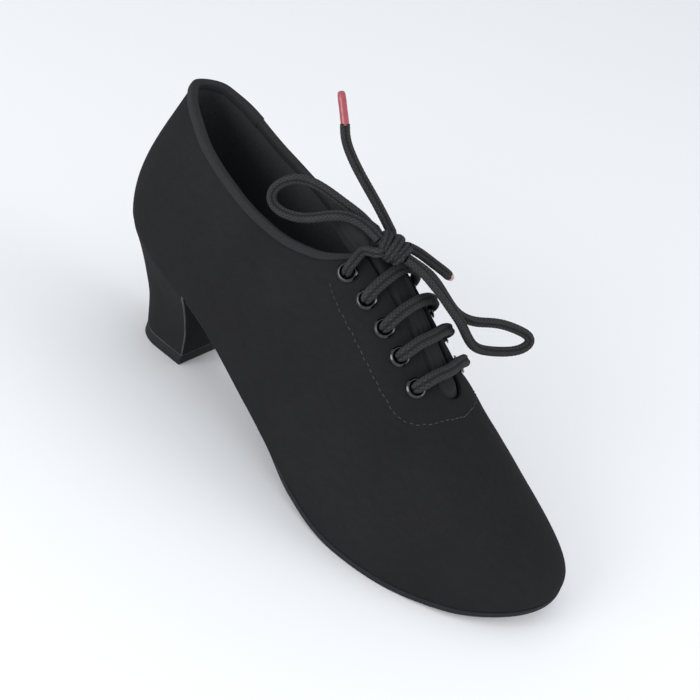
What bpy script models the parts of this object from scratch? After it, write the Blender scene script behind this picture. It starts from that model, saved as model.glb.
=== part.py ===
"""Lace-up practice shoe for Latin dance, right foot, with a covered Cuban heel.

The toe points along +X, the wearer's outer side is -Y, and the shoe stands on z = 0.
Tables and functions work in millimetres, and meshes are written in metres.
"""
import math
from collections import namedtuple

import bmesh
import bpy
import numpy as np

# Driving dimensions of the last, in millimetres
LENGTH = 240.0
BALL_WIDTH = 80.0
INSTEP_HEIGHT = 108.0
HEEL_HEIGHT = 46.4
TOE_SPRING = 9.0

# Driving dimensions of the pieces
WALL = 1.8
GAP = 0.3
SOLE_THICKNESS = 2.6
SOLE_OVERHANG = 0.4
WAIST_TUCK = 2.0
SOLE_STEP = (0.0, 118.0, 140.0, 240.0)
INSOLE_THICKNESS = 2.0
HEEL_TIP_THICKNESS = 4.5
HEEL_FOOT_LENGTH = 28.0
HEEL_FOOT_WIDTH = 27.0
HEEL_FOOT_BACK = 29.0
HEEL_FOOT_STRAIGHT = 0.35
HEEL_SEAT_INSET = 0.4
BREAST = 58.0
TONGUE_THICKNESS = 1.6
TONGUE_HALF_WIDTH = 18.0
TONGUE_TOP_HALF_WIDTH = 11.5
TONGUE_TOP_ROW = 0.15
TONGUE_LAST_ROW = 5.85
TONGUE_OVERHANG = 17.5
TONGUE_CROWN = 0.4
TONGUE_DEPTH = 2.6
TONGUE_TOP_DEPTH = 3.3
TONGUE_VAMP_HALF_WIDTH = 14.0
BINDING_WIDTH = 2.8
BINDING_END = 2.2
BINDING_THICKNESS = 0.5
THROAT_HALF_GAP = 7.2
FACING_SPREAD = 1.8
FACING_TOP = 116.5
FACING_FOOT = 160.0
EYELETS = 5
EYELET_FIRST = 116.0
EYELET_PITCH = 11.6
EYELET_INSET = 15.0
EYELET_FLANGE = 8.0
EYELET_BORE = 5.2
EYELET_METAL = 0.5
EYELET_SEAT = 0.6
LACE = 4.0
CORD_SPACING = 8.0
AGLET = 3.4
AGLET_LENGTH = 12.5
KNOT_HALF_WIDTH = 6.2
KNOT_HALF_HEIGHT = 4.0
RUN_CLEARANCE = 0.9

# Where the middle of the shoe's box lies along and across, so that the origin is under it
MIDDLE_ALONG = 121.163
MIDDLE_ACROSS = -1.858

MILLIMETRE = 0.001
LATERAL = -1
MEDIAL = 1
SIDES = ((LATERAL, "lat"), (MEDIAL, "med"))

# Sections of the last, from the back of the heel to the tip of the toe. along and ridge_along are shares
# of LENGTH; lateral, medial, ridge_lateral and ridge_medial of BALL_WIDTH; ridge_top of INSTEP_HEIGHT. In
# millimetres, bulge and rise lead the wall out of the feather edge, and reach and crown lead it onto the
# ridge, whose slope is pitch, in degrees.
Section = namedtuple("Section", (
    "along", "lateral", "medial", "ridge_along", "ridge_lateral", "ridge_medial", "ridge_top",
    "bulge", "rise", "reach", "crown", "pitch"))
SECTIONS = (
    Section(0.016, 0.000, 0.000, 0.063, 0.019, 0.019, 1.25, 6.4, 28.2, -2.4, 29.2, 0),
    Section(0.066, -0.217, 0.217, 0.087, -0.081, 0.128, 1.25, 6.4, 28.2, -2.4, 29.2, 0),
    Section(0.161, -0.331, 0.331, 0.191, -0.266, 0.112, 1.25, 2.0, 28.2, -2.4, 29.2, 0),
    Section(0.298, -0.348, 0.285, 0.298, -0.202, 0.142, 1.15, 9.2, 31, 0, 26, 0),
    Section(0.434, -0.386, 0.248, 0.438, 0.000, 0.000, 1.004, 11.2, 37, 9, 2.4, 24),
    Section(0.561, -0.464, 0.334, 0.565, 0.000, 0.000, 0.816, 7.1, 31, 19.5, -0.6, 31),
    Section(0.672, -0.521, 0.445, 0.685, 0.000, 0.000, 0.626, 4.1, 31, 27, 3, 33),
    Section(0.786, -0.496, 0.476, 0.685, 0.000, 0.000, 0.626, 3.0, 28, 23, 2, 34),
    Section(0.901, -0.356, 0.408, 0.685, 0.000, 0.000, 0.626, 3.0, 18, 31, 1, 34),
    Section(0.974, -0.165, 0.270, 0.685, 0.000, 0.000, 0.626, 4.0, 13, 37, 0, 34),
    Section(0.997, 0.052, 0.052, 0.685, 0.000, 0.000, 0.626, 4.0, 13, 39, 0, 34),
)

# Lift of the sole's underside along the shoe, as shares of HEEL_HEIGHT and of TOE_SPRING
Lift = namedtuple("Lift", "along heel toe")
UNDERSIDE = (
    Lift(-0.02, 1.04, 0.0), Lift(0.085, 1.00, 0.0), Lift(0.19, 0.895, 0.0), Lift(0.298, 0.70, 0.0),
    Lift(0.425, 0.39, 0.0), Lift(0.553, 0.145, 0.0), Lift(0.65, 0.025, 0.0), Lift(0.70, 0.0, 0.0),
    Lift(0.79, 0.0, 0.0), Lift(0.893, 0.0, 0.20), Lift(1.01, 0.0, 1.05),
)

# Height of the collar above the floor on each side, with shares of LENGTH
Collar = namedtuple("Collar", "along lateral medial")
COLLAR = (
    Collar(-0.02, 110.0, 110.0), Collar(0.05, 109.5, 109.5), Collar(0.128, 106.7, 107.6),
    Collar(0.234, 96.5, 98.5), Collar(0.31, 90.8, 93.0), Collar(0.375, 88.3, 90.5),
    Collar(0.42, 89.5, 91.0),
)

# Half width and fall of the heel block from its seat to its foot: share is 0 at the seat's outline
# and 1 at the foot's outline
Taper = namedtuple("Taper", "down share")
HEEL_TAPER = (
    Taper(0.00, 0.00), Taper(0.05, 0.04), Taper(0.12, 0.15), Taper(0.20, 0.27), Taper(0.32, 0.43),
    Taper(0.48, 0.62), Taper(0.70, 0.84), Taper(1.00, 1.00),
)

# The tongue's depth as it goes under a facing: distance past the facing's edge in plan, and share of the
# full depth. Then its free end: shares of the overhang and of the width. Then its places under the vamp.
TONGUE_SHOULDER = ((-2.8, 0.0), (-1.0, 0.45), (0.5, 1.0))
TONGUE_TIP = ((1.0, 0.25), (0.93, 0.48), (0.76, 0.74), (0.5, 0.93), (0.25, 1.0))
TONGUE_TIP_FLATTENING = 0.6
TONGUE_VAMP_PLACES = (166.5, 169.0, 172.2, 178.0)

# Routes of the bow, from the knot outwards, and the two tagged ends, as (along, across, up)
KNOT_CENTRE = (124.0, -4.0, 102.3)
KNOT_AXIS = (0.40, 0.0, 0.92)
BOW = {
    "lace_loop_lat": (
        (117.8, -5.5, 103.2), (109.3, -5, 106.2), (100, -7, 107.9), (86.9, -10, 109.6), (78.7, -13, 107.8),
        (73.6, -17, 101.0), (75.6, -18.5, 96.2), (82.5, -18, 95.4), (91.6, -17, 98.7), (104.1, -14, 107.6),
        (112.8, -11, 108.0), (119.7, -9.4, 105.5)),
    "lace_loop_med": (
        (131.3, 0.4, 99.9), (138.4, 6, 96.4), (145.6, 11, 89.0), (150.2, 15.5, 83.4), (155.0, 23, 80.2),
        (160.9, 36, 78.8), (169.5, 46, 75.8), (172.0, 47, 73.6), (169.8, 40, 69.9), (160.9, 26, 69.4),
        (157.6, 18.5, 75.4), (155.0, 13, 82.4), (150.4, 7, 89.4), (144.0, 3, 95.2), (135.6, -1.6, 100.9),
        (131.2, -4.8, 102.7)),
    "lace_end_back": (
        (118.8, 0.2, 105.3), (107.8, 4, 108.9), (92.1, 8, 114.3), (82.5, 11.3, 118.0),
        (77.6, 13.2, 121.2), (75.9, 13.8, 124.6)),
    "lace_end_med": (
        (126.0, 3.0, 102.5), (128.3, 8.4, 100.2), (133.0, 15, 95.9), (136.5, 20, 92.8), (136.2, 25, 89.4),
        (134.2, 30, 86.4)),
}
AGLETS = {"aglet_back": "lace_end_back", "aglet_med": "lace_end_med"}

# Colours (linear), roughness and metallic of the finishes
Finish = namedtuple("Finish", "colour roughness metallic")
FINISHES = {
    "upper_cloth": Finish((0.012, 0.012, 0.013), 0.9, 0.0),
    "binding_tape": Finish((0.030, 0.031, 0.033), 0.8, 0.0),
    "tongue_lining": Finish((0.010, 0.010, 0.011), 0.6, 0.0),
    "insole_cloth": Finish((0.016, 0.016, 0.017), 0.9, 0.0),
    "sole_suede": Finish((0.160, 0.170, 0.185), 0.95, 0.0),
    "heel_cover": Finish((0.010, 0.010, 0.011), 0.75, 0.0),
    "heel_rubber": Finish((0.014, 0.015, 0.016), 0.6, 0.0),
    "eyelet_metal": Finish((0.050, 0.050, 0.052), 0.35, 1.0),
    "lace_braid": Finish((0.022, 0.023, 0.024), 0.85, 0.0),
    "aglet_plastic": Finish((0.42, 0.065, 0.085), 0.4, 0.0),
}


def column(rows, name):
    return np.array([getattr(row, name) for row in rows], float)


def smooth_table(places, values, at):
    """Reads a short table as one smooth curve that doesn't overshoot its rows."""
    at = np.clip(np.asarray(at, float), places[0], places[-1])
    steps = np.diff(places)
    slopes = np.diff(values) / steps
    tangents = np.zeros(len(values))
    for i in range(1, len(values) - 1):
        if slopes[i - 1] * slopes[i] > 0:
            tangents[i] = 2 / (1 / slopes[i - 1] + 1 / slopes[i])
    tangents[0], tangents[-1] = slopes[0], slopes[-1]
    span = np.clip(np.searchsorted(places, at, side="right") - 1, 0, len(steps) - 1)
    part = (at - np.asarray(places)[span]) / steps[span]
    start, end = np.asarray(values)[span], np.asarray(values)[span + 1]
    lead, trail = tangents[span] * steps[span], tangents[span + 1] * steps[span]
    rise = end - start
    return start + part * (lead + part * (3 * rise - 2 * lead - trail + part * (lead + trail - 2 * rise)))


def round_table(rows, at):
    """Reads rows set round a closed loop as one smooth curve; at counts the rows."""
    first = np.floor(at).astype(int)
    part = (at - first)[:, None]
    before, start, end, after = (rows[(first + step) % len(rows)] for step in (-1, 0, 1, 2))
    bend = 2 * before - 5 * start + 4 * end - after
    twist = 3 * (start - end) + after - before
    return start + 0.5 * part * (end - before + part * (bend + part * twist))


LAST_ROW = len(SECTIONS) - 1
TURN = 2 * LAST_ROW
# The first of the rows that fan out from the end of the ridge
FAN_ROW = 6


def row_of(around):
    """The section that a place round the feather edge belongs to, counted from the back."""
    around = np.mod(around, TURN)
    return np.minimum(around, TURN - around)


def feather_outline(around):
    """Plan of the feather edge: from the back along the outer side to the toe, and back inside."""
    x = column(SECTIONS, "along") * LENGTH
    outer = np.stack([x, column(SECTIONS, "lateral") * BALL_WIDTH], 1)
    inner = np.stack([x, column(SECTIONS, "medial") * BALL_WIDTH], 1)
    return round_table(np.vstack([outer, inner[-2:0:-1]]), np.mod(around, TURN))


def outline_offset(around, outwards):
    """The feather outline moved outwards in plan; outwards may vary round the edge."""
    step = 0.02
    along = feather_outline(around + step) - feather_outline(around - step)
    along /= np.linalg.norm(along, axis=1, keepdims=True)
    across = np.stack([along[:, 1], -along[:, 0]], 1)
    return feather_outline(around) + across * np.reshape(outwards, (-1, 1))


def underside(x):
    """Lift of the outsole's lower face at x."""
    lift = column(UNDERSIDE, "heel") * HEEL_HEIGHT + column(UNDERSIDE, "toe") * TOE_SPRING
    return smooth_table(column(UNDERSIDE, "along") * LENGTH, lift, x)


def feather_height(x):
    """Height of the feather edge, just above the outsole's upper face."""
    return underside(x) + SOLE_THICKNESS + GAP


def section_value(name, around, share=1.0):
    rows = np.arange(len(SECTIONS), dtype=float)
    return smooth_table(rows, column(SECTIONS, name) * share, row_of(around))


def mirrored_value(name, around, share):
    """A section's value where both sides meet level at the back."""
    values = column(SECTIONS, name) * share
    rows = np.arange(-1.0, len(values))
    return smooth_table(rows, np.concatenate([values[1:2], values]), row_of(around))


def ridge_point(around):
    """Where a section's wall would meet the other side's, or the rim of the ankle behind the facings."""
    across = np.where(np.mod(around, TURN) <= LAST_ROW, section_value("ridge_lateral", around, BALL_WIDTH),
                      section_value("ridge_medial", around, BALL_WIDTH))
    return np.stack([mirrored_value("ridge_along", around, LENGTH), across,
                     section_value("ridge_top", around, INSTEP_HEIGHT)], -1)


def last_skin(around, climb):
    """Points of the last: climb runs from 0 at the feather edge to 1 on the ridge."""
    around, climb = np.broadcast_arrays(np.asarray(around, float), np.asarray(climb, float))
    shape = around.shape
    around, climb = around.ravel(), climb.ravel()[:, None]
    plan = feather_outline(around)
    foot = np.column_stack([plan, feather_height(plan[:, 0])])
    ridge = ridge_point(around)
    outwards = foot[:, :2] - ridge[:, :2]
    outwards /= np.linalg.norm(outwards, axis=1, keepdims=True)
    low, high = foot.copy(), ridge.copy()
    low[:, :2] += outwards * section_value("bulge", around)[:, None]
    low[:, 2] += section_value("rise", around)
    reach = section_value("reach", around)
    fall = reach * outwards[:, 0] * np.tan(np.radians(section_value("pitch", around)))
    high[:, :2] += outwards * reach[:, None]
    high[:, 2] -= section_value("crown", around) + fall
    rest = 1 - climb
    points = rest**3 * foot + 3 * climb * rest**2 * low + 3 * climb**2 * rest * high + climb**3 * ridge
    return points.reshape(shape + (3,))


def skin_normal(around, climb):
    """Outward direction of the last's skin."""
    step = 0.004
    along = last_skin(np.add(around, step), climb) - last_skin(np.subtract(around, step), climb)
    up = last_skin(around, np.add(climb, step)) - last_skin(around, np.subtract(climb, step))
    normal = np.cross(along, up)
    return normal / np.linalg.norm(normal, axis=-1, keepdims=True)


def wall_point(around, climb, depth):
    """A point at a depth below the outer face of the wall."""
    return last_skin(around, climb) - skin_normal(around, climb) * np.expand_dims(depth, -1)


CLIMBS = np.linspace(0, 1, 400)
RIDGE_CLIMB = 0.992
COLLAR_STATIONS = 24


def first_climb(around, stops):
    """The climb where a test on the skin's points first stops the wall, for one place round the edge."""
    points = last_skin(np.full(len(CLIMBS), around), CLIMBS)
    passed = stops(points)
    index = int(np.argmax(passed > 0))
    before, after = passed[index - 1], passed[index]
    return CLIMBS[index - 1] + (CLIMBS[1] - CLIMBS[0]) * (-before / (after - before))


def throat_half_gap(ridge_x):
    """Half of the gap between the facings, which spread towards the collar."""
    share = np.clip((FACING_FOOT - ridge_x) / (FACING_FOOT - FACING_TOP), 0, 1)
    return THROAT_HALF_GAP + FACING_SPREAD * share


def facing_climb(around, half_gap=None):
    """Climb at a distance from the ridge in plan: at the facing's edge, or half_gap away."""
    ridge = ridge_point(np.array([around]))[0]
    if half_gap is None:
        half_gap = throat_half_gap(ridge[0])
    return first_climb(around, lambda points: half_gap - np.hypot(*(points - ridge)[:, :2].T))


def row_at(ridge_x):
    """The row whose ridge point lies at ridge_x, along the facings."""
    rows = np.linspace(3.5, 6.0, 400)
    return float(np.interp(ridge_x, section_value("ridge_along", rows, LENGTH), rows))


CORNER_ROW = row_at(FACING_TOP)


def facing_corner(side):
    place = CORNER_ROW if side == LATERAL else TURN - CORNER_ROW
    return last_skin(place, facing_climb(place))


def collar_climb(around):
    """Climb at the collar's edge, which ends at the upper corner of the facing."""
    side = LATERAL if around <= LAST_ROW else MEDIAL
    corner = facing_corner(side)
    places = np.append(column(COLLAR, "along") * LENGTH, corner[0])
    heights = np.append(column(COLLAR, "lateral" if side == LATERAL else "medial"), corner[2])
    return first_climb(around, lambda points: points[:, 2] - smooth_table(places, heights, points[:, 0]))


def edge_climb(around):
    """Climb at the wall's upper edge: the collar behind the facings' corners, the throat before them."""
    around = float(np.mod(around, TURN))
    if CORNER_ROW <= around <= TURN - CORNER_ROW:
        return facing_climb(around)
    return collar_climb(around)


def new_material(name):
    finish = FINISHES[name]
    material = bpy.data.materials.new(name)
    material.use_nodes = True
    shader = material.node_tree.nodes["Principled BSDF"]
    shader.inputs["Base Color"].default_value = (*finish.colour, 1)
    shader.inputs["Roughness"].default_value = finish.roughness
    shader.inputs["Metallic"].default_value = finish.metallic
    return material


def in_frame(points):
    """Moves points from the last's own measure to the part's frame, in metres."""
    return (np.asarray(points, float) - (MIDDLE_ALONG, MIDDLE_ACROSS, 0)) * MILLIMETRE


def add_object(name, points, faces, material):
    """A named object from points and faces, with doubled points joined and faces pointing out."""
    mesh = bpy.data.meshes.new(name)
    mesh.from_pydata(in_frame(points).tolist(), [], faces)
    work = bmesh.new()
    work.from_mesh(mesh)
    bmesh.ops.remove_doubles(work, verts=work.verts, dist=0.00001)
    bmesh.ops.recalc_face_normals(work, faces=work.faces)
    work.to_mesh(mesh)
    work.free()
    mesh.shade_smooth()
    mesh.set_sharp_from_angle(angle=math.radians(40))
    mesh.materials.append(MATERIALS[material])
    part = bpy.data.objects.new(name, mesh)
    bpy.context.scene.collection.objects.link(part)
    return part


def ring_faces(rings, count, closed):
    """Quads between neighbouring rings of count points each."""
    faces = []
    for ring in range(rings if closed else rings - 1):
        here, there = ring * count, (ring + 1) % rings * count
        for i in range(count):
            j = (i + 1) % count
            faces.append((here + i, here + j, there + j, there + i))
    return faces


def strip_caps(rings, count):
    """End faces of a swept strip whose ring is an outer path followed by the inner path, reversed."""
    faces = []
    for ring in (0, rings - 1):
        start = ring * count
        for i in range(count // 2 - 1):
            faces.append((start + i, start + i + 1, start + count - 2 - i, start + count - 1 - i))
    return faces


def plate(name, outer, inner, top, bottom, material):
    """A sole-like plate between two side lines with equal counts; top and bottom give heights at x."""
    count = len(outer)
    points = []
    for height in (top, bottom):
        for line in (outer, inner):
            points.append(np.column_stack([line, height(line[:, 0])]))
    top_outer, top_inner, low_outer, low_inner = (count * i for i in range(4))
    faces = []
    for i in range(count - 1):
        j = i + 1
        faces.append((top_outer + i, top_outer + j, top_inner + j, top_inner + i))
        faces.append((low_outer + i, low_outer + j, low_inner + j, low_inner + i))
        faces.append((top_outer + i, top_outer + j, low_outer + j, low_outer + i))
        faces.append((top_inner + i, top_inner + j, low_inner + j, low_inner + i))
    for i in (0, count - 1):
        faces.append((top_outer + i, top_inner + i, low_inner + i, low_outer + i))
    return add_object(name, np.vstack(points), faces, material)


def turned(name, profile, centre, axis, material, sides=14):
    """A ring turned about an axis from a closed profile of (radius, height) pairs."""
    axis = axis / np.linalg.norm(axis)
    first = np.cross(axis, (0.0, 1.0, 0.0))
    first /= np.linalg.norm(first)
    second = np.cross(axis, first)
    points = []
    for angle in np.linspace(0, math.tau, sides, endpoint=False):
        spoke = math.cos(angle) * first + math.sin(angle) * second
        points.extend(centre + radius * spoke + height * axis for radius, height in profile)
    return add_object(name, points, ring_faces(sides, len(profile), True), material)


def smooth_route(stops, spacing):
    """Points at about equal spacing along a smooth curve through a cord's stops."""
    stops = np.asarray(stops, float)
    padded = np.vstack([2 * stops[0] - stops[1], stops, 2 * stops[-1] - stops[-2]])
    dense = []
    for i in range(len(stops) - 1):
        before, start, end, after = padded[i:i + 4]
        for part in np.linspace(0, 1, 24, endpoint=False):
            bend = 2 * before - 5 * start + 4 * end - after
            twist = 3 * (start - end) + after - before
            dense.append(start + 0.5 * part * (end - before + part * (bend + part * twist)))
    dense = np.array(dense + [stops[-1]])
    length = np.append(0, np.cumsum(np.linalg.norm(np.diff(dense, axis=0), axis=1)))
    count = max(3, round(length[-1] / spacing) + 1)
    even = np.linspace(0, length[-1], count)
    return np.column_stack([np.interp(even, length, dense[:, axis]) for axis in range(3)])


def cord(name, stops, diameter, material):
    """A free stretch of lace: a tube with filled ends along a smooth route."""
    route = in_frame(smooth_route(stops, CORD_SPACING))
    curve = bpy.data.curves.new(name, "CURVE")
    curve.dimensions = "3D"
    curve.bevel_depth = diameter / 2 * MILLIMETRE
    curve.bevel_resolution = 2
    curve.use_fill_caps = True
    spline = curve.splines.new("POLY")
    spline.points.add(len(route) - 1)
    for point, place in zip(spline.points, route):
        point.co = (*place, 1)
    curve.materials.append(MATERIALS[material])
    part = bpy.data.objects.new(name, curve)
    bpy.context.scene.collection.objects.link(part)
    return part


def tube(name, stops, diameter, material, spacing=2.2, sides=8):
    """A held run of lace as a mesh tube with flat ends."""
    route = smooth_route(stops, spacing)
    tangents = np.gradient(route, axis=0)
    tangents /= np.linalg.norm(tangents, axis=1, keepdims=True)
    side = np.cross(tangents[0], (0, 0, 1.0))
    points = []
    for place, tangent in zip(route, tangents):
        side = side - tangent * np.dot(side, tangent)
        side /= np.linalg.norm(side)
        lift = np.cross(tangent, side)
        for angle in np.linspace(0, math.tau, sides, endpoint=False):
            points.append(place + diameter / 2 * (math.cos(angle) * side + math.sin(angle) * lift))
    faces = ring_faces(len(route), sides, False)
    faces.append(tuple(range(sides)))
    faces.append(tuple(range(len(points) - sides, len(points))))
    return add_object(name, points, faces, material)


def cut_by(part, cutter):
    """Cuts one piece with a hidden cutter."""
    cutter.hide_render = True
    cutter.display_type = "WIRE"
    boolean = part.modifiers.new(cutter.name, "BOOLEAN")
    boolean.operation = "DIFFERENCE"
    boolean.solver = "EXACT"
    boolean.object = cutter


def wall_stations():
    """Places round the feather edge, with one at each corner of the facings."""
    back_half = np.linspace(0, CORNER_ROW, COLLAR_STATIONS)
    front_half = np.linspace(CORNER_ROW, LAST_ROW, 24)
    outer = np.concatenate([back_half[:-1], front_half])
    return np.concatenate([outer, TURN - outer[-2:0:-1]])


def build_upper():
    """The hollow wall: an outer and an inner face joined at the feather edge and along the top edge."""
    stations = wall_stations()
    shares = np.array([0, 0.1, 0.24, 0.38, 0.52, 0.66, 0.79, 0.9, 1.0])
    points = []
    for around in stations:
        climbs = shares * edge_climb(around)
        place = np.full(len(climbs), around)
        outer = last_skin(place, climbs)
        inner = wall_point(place, climbs, np.full(len(climbs), WALL))
        inner[0, 2] = outer[0, 2]
        points.extend(outer)
        points.extend(inner[::-1])
    count = 2 * len(shares)
    upper = add_object("upper", points, ring_faces(len(stations), count, True), "upper_cloth")
    hole = EYELET_BORE / 2 + EYELET_METAL + GAP
    for side in (LATERAL, MEDIAL):
        for number in range(EYELETS):
            centre, normal = eyelet_place(side, number)
            cutter = turned(f"punch_{side}_{number}", ((0, 4), (hole, 4), (hole, -5), (0, -5)),
                            centre, normal, "upper_cloth")
            cut_by(upper, cutter)
    return upper


def place_of(side, row):
    """Where a row of one side lies round the feather edge."""
    return row if side == LATERAL else TURN - row


def eyelet_place(side, number):
    """Centre on the outer face and outward direction of an eyelet, counted from the top."""
    place = place_of(side, row_at(EYELET_FIRST + number * EYELET_PITCH))
    climb = facing_climb(place, EYELET_INSET)
    return last_skin(place, climb), skin_normal(place, climb)


def build_eyelets():
    """Flanged metal eyelets, each a turned ring whose barrel lines its hole."""
    bore, barrel, flange = EYELET_BORE / 2, EYELET_BORE / 2 + EYELET_METAL, EYELET_FLANGE / 2
    low, high = EYELET_SEAT, EYELET_SEAT + 0.7
    profile = ((bore, -WALL), (bore, high - 0.3), (bore + 0.4, high), (flange - 0.5, high),
               (flange, low + 0.2), (flange - 0.2, low), (barrel, low), (barrel, -WALL))
    for side, name in SIDES:
        for number in range(EYELETS):
            centre, normal = eyelet_place(side, number)
            turned(f"eyelet_{name}_{number + 1}", profile, centre, normal, "eyelet_metal", sides=10)


def build_insole():
    """The inner sole, inside the wall's foot."""
    rows = np.linspace(0, LAST_ROW, 36)
    inset = -(WALL + GAP + 0.1)
    outer = outline_offset(rows, np.full(len(rows), inset))
    inner = outline_offset(TURN - rows, np.full(len(rows), inset))
    inner[0], inner[-1] = outer[0], outer[-1]
    plate("insole", outer, inner, lambda x: feather_height(x) + INSOLE_THICKNESS, feather_height,
          "insole_cloth")


def sole_edge(rows):
    """How far the outsole stands out from the feather edge: a rim before the waist's tuck."""
    x = section_value("along", rows, LENGTH)
    return smooth_table(SOLE_STEP, np.array([-WAIST_TUCK, -WAIST_TUCK, SOLE_OVERHANG, SOLE_OVERHANG]), x)


def build_outsole():
    """The thin outsole, from the breast of the heel to the toe."""
    first = float(np.interp(BREAST + GAP, column(SECTIONS, "along") * LENGTH, np.arange(len(SECTIONS))))
    rows = np.linspace(first, LAST_ROW, 40)
    outer = outline_offset(rows, sole_edge(rows))
    inner = outline_offset(TURN - rows, sole_edge(rows))
    inner[-1] = outer[-1]
    outer[0, 0] = inner[0, 0] = BREAST + GAP
    plate("outsole", outer, inner, lambda x: underside(x) + SOLE_THICKNESS, underside, "sole_suede")


def heel_outlines(count=15):
    """Plan lines of the heel's seat and foot on one side, from the breast to the back, as two arrays."""
    first = float(np.interp(BREAST, column(SECTIONS, "along") * LENGTH, np.arange(len(SECTIONS))))
    rows = np.linspace(first, 0, count)
    inset = np.full(count, -HEEL_SEAT_INSET)
    seat = {side: outline_offset(place_of(side, rows), inset) for side, name in SIDES}
    turn = np.linspace(0, 1, count)
    straight = HEEL_FOOT_STRAIGHT
    angle = np.clip((turn - straight) / (1 - straight), 0, 1) * math.pi / 2
    radius = HEEL_FOOT_WIDTH / 2
    front = HEEL_FOOT_BACK + HEEL_FOOT_LENGTH
    centre = HEEL_FOOT_BACK + radius
    x = np.where(turn < straight, front + (centre - front) * turn / straight,
                 centre - radius * np.sin(angle))
    y = np.where(turn < straight, radius, radius * np.cos(angle))
    foot = {side: np.column_stack([x, side * y]) for side, name in SIDES}
    for lines in (seat, foot):
        lines[LATERAL][0, 0] = lines[MEDIAL][0, 0]
        lines[LATERAL][-1, 1] = lines[MEDIAL][-1, 1] = 0
    return seat, foot


def build_heel():
    """The Cuban block with its cupped seat, and the top piece that it stands on."""
    seat, foot = heel_outlines()
    count = len(seat[LATERAL])
    foot_height = HEEL_TIP_THICKNESS + GAP
    points = []
    for row in HEEL_TAPER:
        for side in (LATERAL, MEDIAL):
            plan = seat[side] + (foot[side] - seat[side]) * row.share
            top = feather_height(seat[side][:, 0]) - GAP
            points.append(np.column_stack([plan, top + (foot_height - top) * row.down]))
    ring = 2 * count
    faces = []
    last_level = len(HEEL_TAPER) - 1
    for level in range(len(HEEL_TAPER)):
        here, there = level * ring, (level + 1) * ring
        inner_here, inner_there = here + count, there + count
        for i in range(count - 1):
            if level in (0, last_level):
                faces.append((here + i, here + i + 1, inner_here + i + 1, inner_here + i))
            if level < last_level:
                faces.append((here + i, here + i + 1, there + i + 1, there + i))
                faces.append((inner_here + i, inner_here + i + 1, inner_there + i + 1, inner_there + i))
        if level < last_level:
            faces.append((here, inner_here, inner_there, there))
    add_object("heel", np.vstack(points), faces, "heel_cover")
    plate("heel_tip", foot[LATERAL], foot[MEDIAL], lambda x: np.full(len(x), HEEL_TIP_THICKNESS),
          lambda x: np.zeros(len(x)), "heel_rubber")


def tongue_depth(past_edge, edge_depth):
    """Depth of the tongue below the skin: pushed up between the facings, and lying under their edges."""
    distances, shares = zip(*TONGUE_SHOULDER)
    return TONGUE_CROWN + (edge_depth - TONGUE_CROWN) * np.interp(past_edge, distances, shares)


def tongue_sheet(places, climbs, past_edge, edge_depth):
    """One section of the tongue: its outer line, and its inner line reversed."""
    normal = skin_normal(places, climbs)
    outer = last_skin(places, climbs) - normal * tongue_depth(past_edge, edge_depth)[:, None]
    return np.vstack([outer, (outer - normal * TONGUE_THICKNESS)[::-1]])


def throat_sheet(row):
    """A section of the tongue across the throat at one row, from the outer side over the ridge."""
    half_width = np.interp(row, (CORNER_ROW, CORNER_ROW + 0.6), (TONGUE_TOP_HALF_WIDTH, TONGUE_HALF_WIDTH))
    half_gap = throat_half_gap(section_value("ridge_along", row, LENGTH))
    shoulder = [half_gap + distance for distance, share in TONGUE_SHOULDER]
    far = np.array([half_width, (half_width + shoulder[-1]) / 2, *shoulder[::-1], shoulder[0] / 2])
    places, climbs = [], []
    for side, name in SIDES:
        place = place_of(side, row)
        places.append(np.full(len(far), place))
        climbs.append(np.array([min(facing_climb(place, distance), RIDGE_CLIMB) for distance in far]))
    places = np.concatenate([places[0], [row], places[1][::-1]])
    climbs = np.concatenate([climbs[0], [RIDGE_CLIMB], climbs[1][::-1]])
    past_edge = np.concatenate([far, [0], far[::-1]]) - half_gap
    edge_depth = np.interp(row, (CORNER_ROW, CORNER_ROW + 0.35), (TONGUE_TOP_DEPTH, TONGUE_DEPTH))
    return tongue_sheet(places, climbs, past_edge, edge_depth)


def vamp_sheet(x):
    """A section of the tongue ahead of the ridge's end, under the vamp."""
    end = ridge_point(np.array([float(FAN_ROW)]))[0]
    rows = np.linspace(FAN_ROW, TURN - FAN_ROW, 161)
    spokes = feather_outline(rows) - end[:2]
    angles = np.unwrap(np.arctan2(spokes[:, 1], spokes[:, 0]))
    half = np.array([1.0, 0.8, 0.55, 0.43, 0.3, 0.15]) * TONGUE_VAMP_HALF_WIDTH
    across = np.concatenate([-half, [0], half[::-1]])
    far = np.hypot(x - end[0], across)
    places = np.interp(np.arctan2(across, x - end[0]), angles, rows)
    climbs = np.array([facing_climb(place, distance) for place, distance in zip(places, far)])
    return tongue_sheet(places, climbs, far - THROAT_HALF_GAP, TONGUE_DEPTH)


def build_tongue():
    """The tongue, a curved sheet under the facings and the vamp, with a free end over the opening."""
    sheets = [throat_sheet(row) for row in np.linspace(CORNER_ROW - TONGUE_TOP_ROW, TONGUE_LAST_ROW, 9)]
    middle = sheets[0][len(sheets[0]) // 4]
    top = []
    for back, width in TONGUE_TIP:
        flat = 1 - TONGUE_TIP_FLATTENING * back
        free = middle + (sheets[0] - middle) * (1, width, flat)
        top.append(free + (-TONGUE_OVERHANG * back, 0, 0))
    rings = top + sheets + [vamp_sheet(x) for x in TONGUE_VAMP_PLACES]
    count = len(rings[0])
    add_object("tongue", np.vstack(rings),
               ring_faces(len(rings), count, False) + strip_caps(len(rings), count), "tongue_lining")


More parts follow.
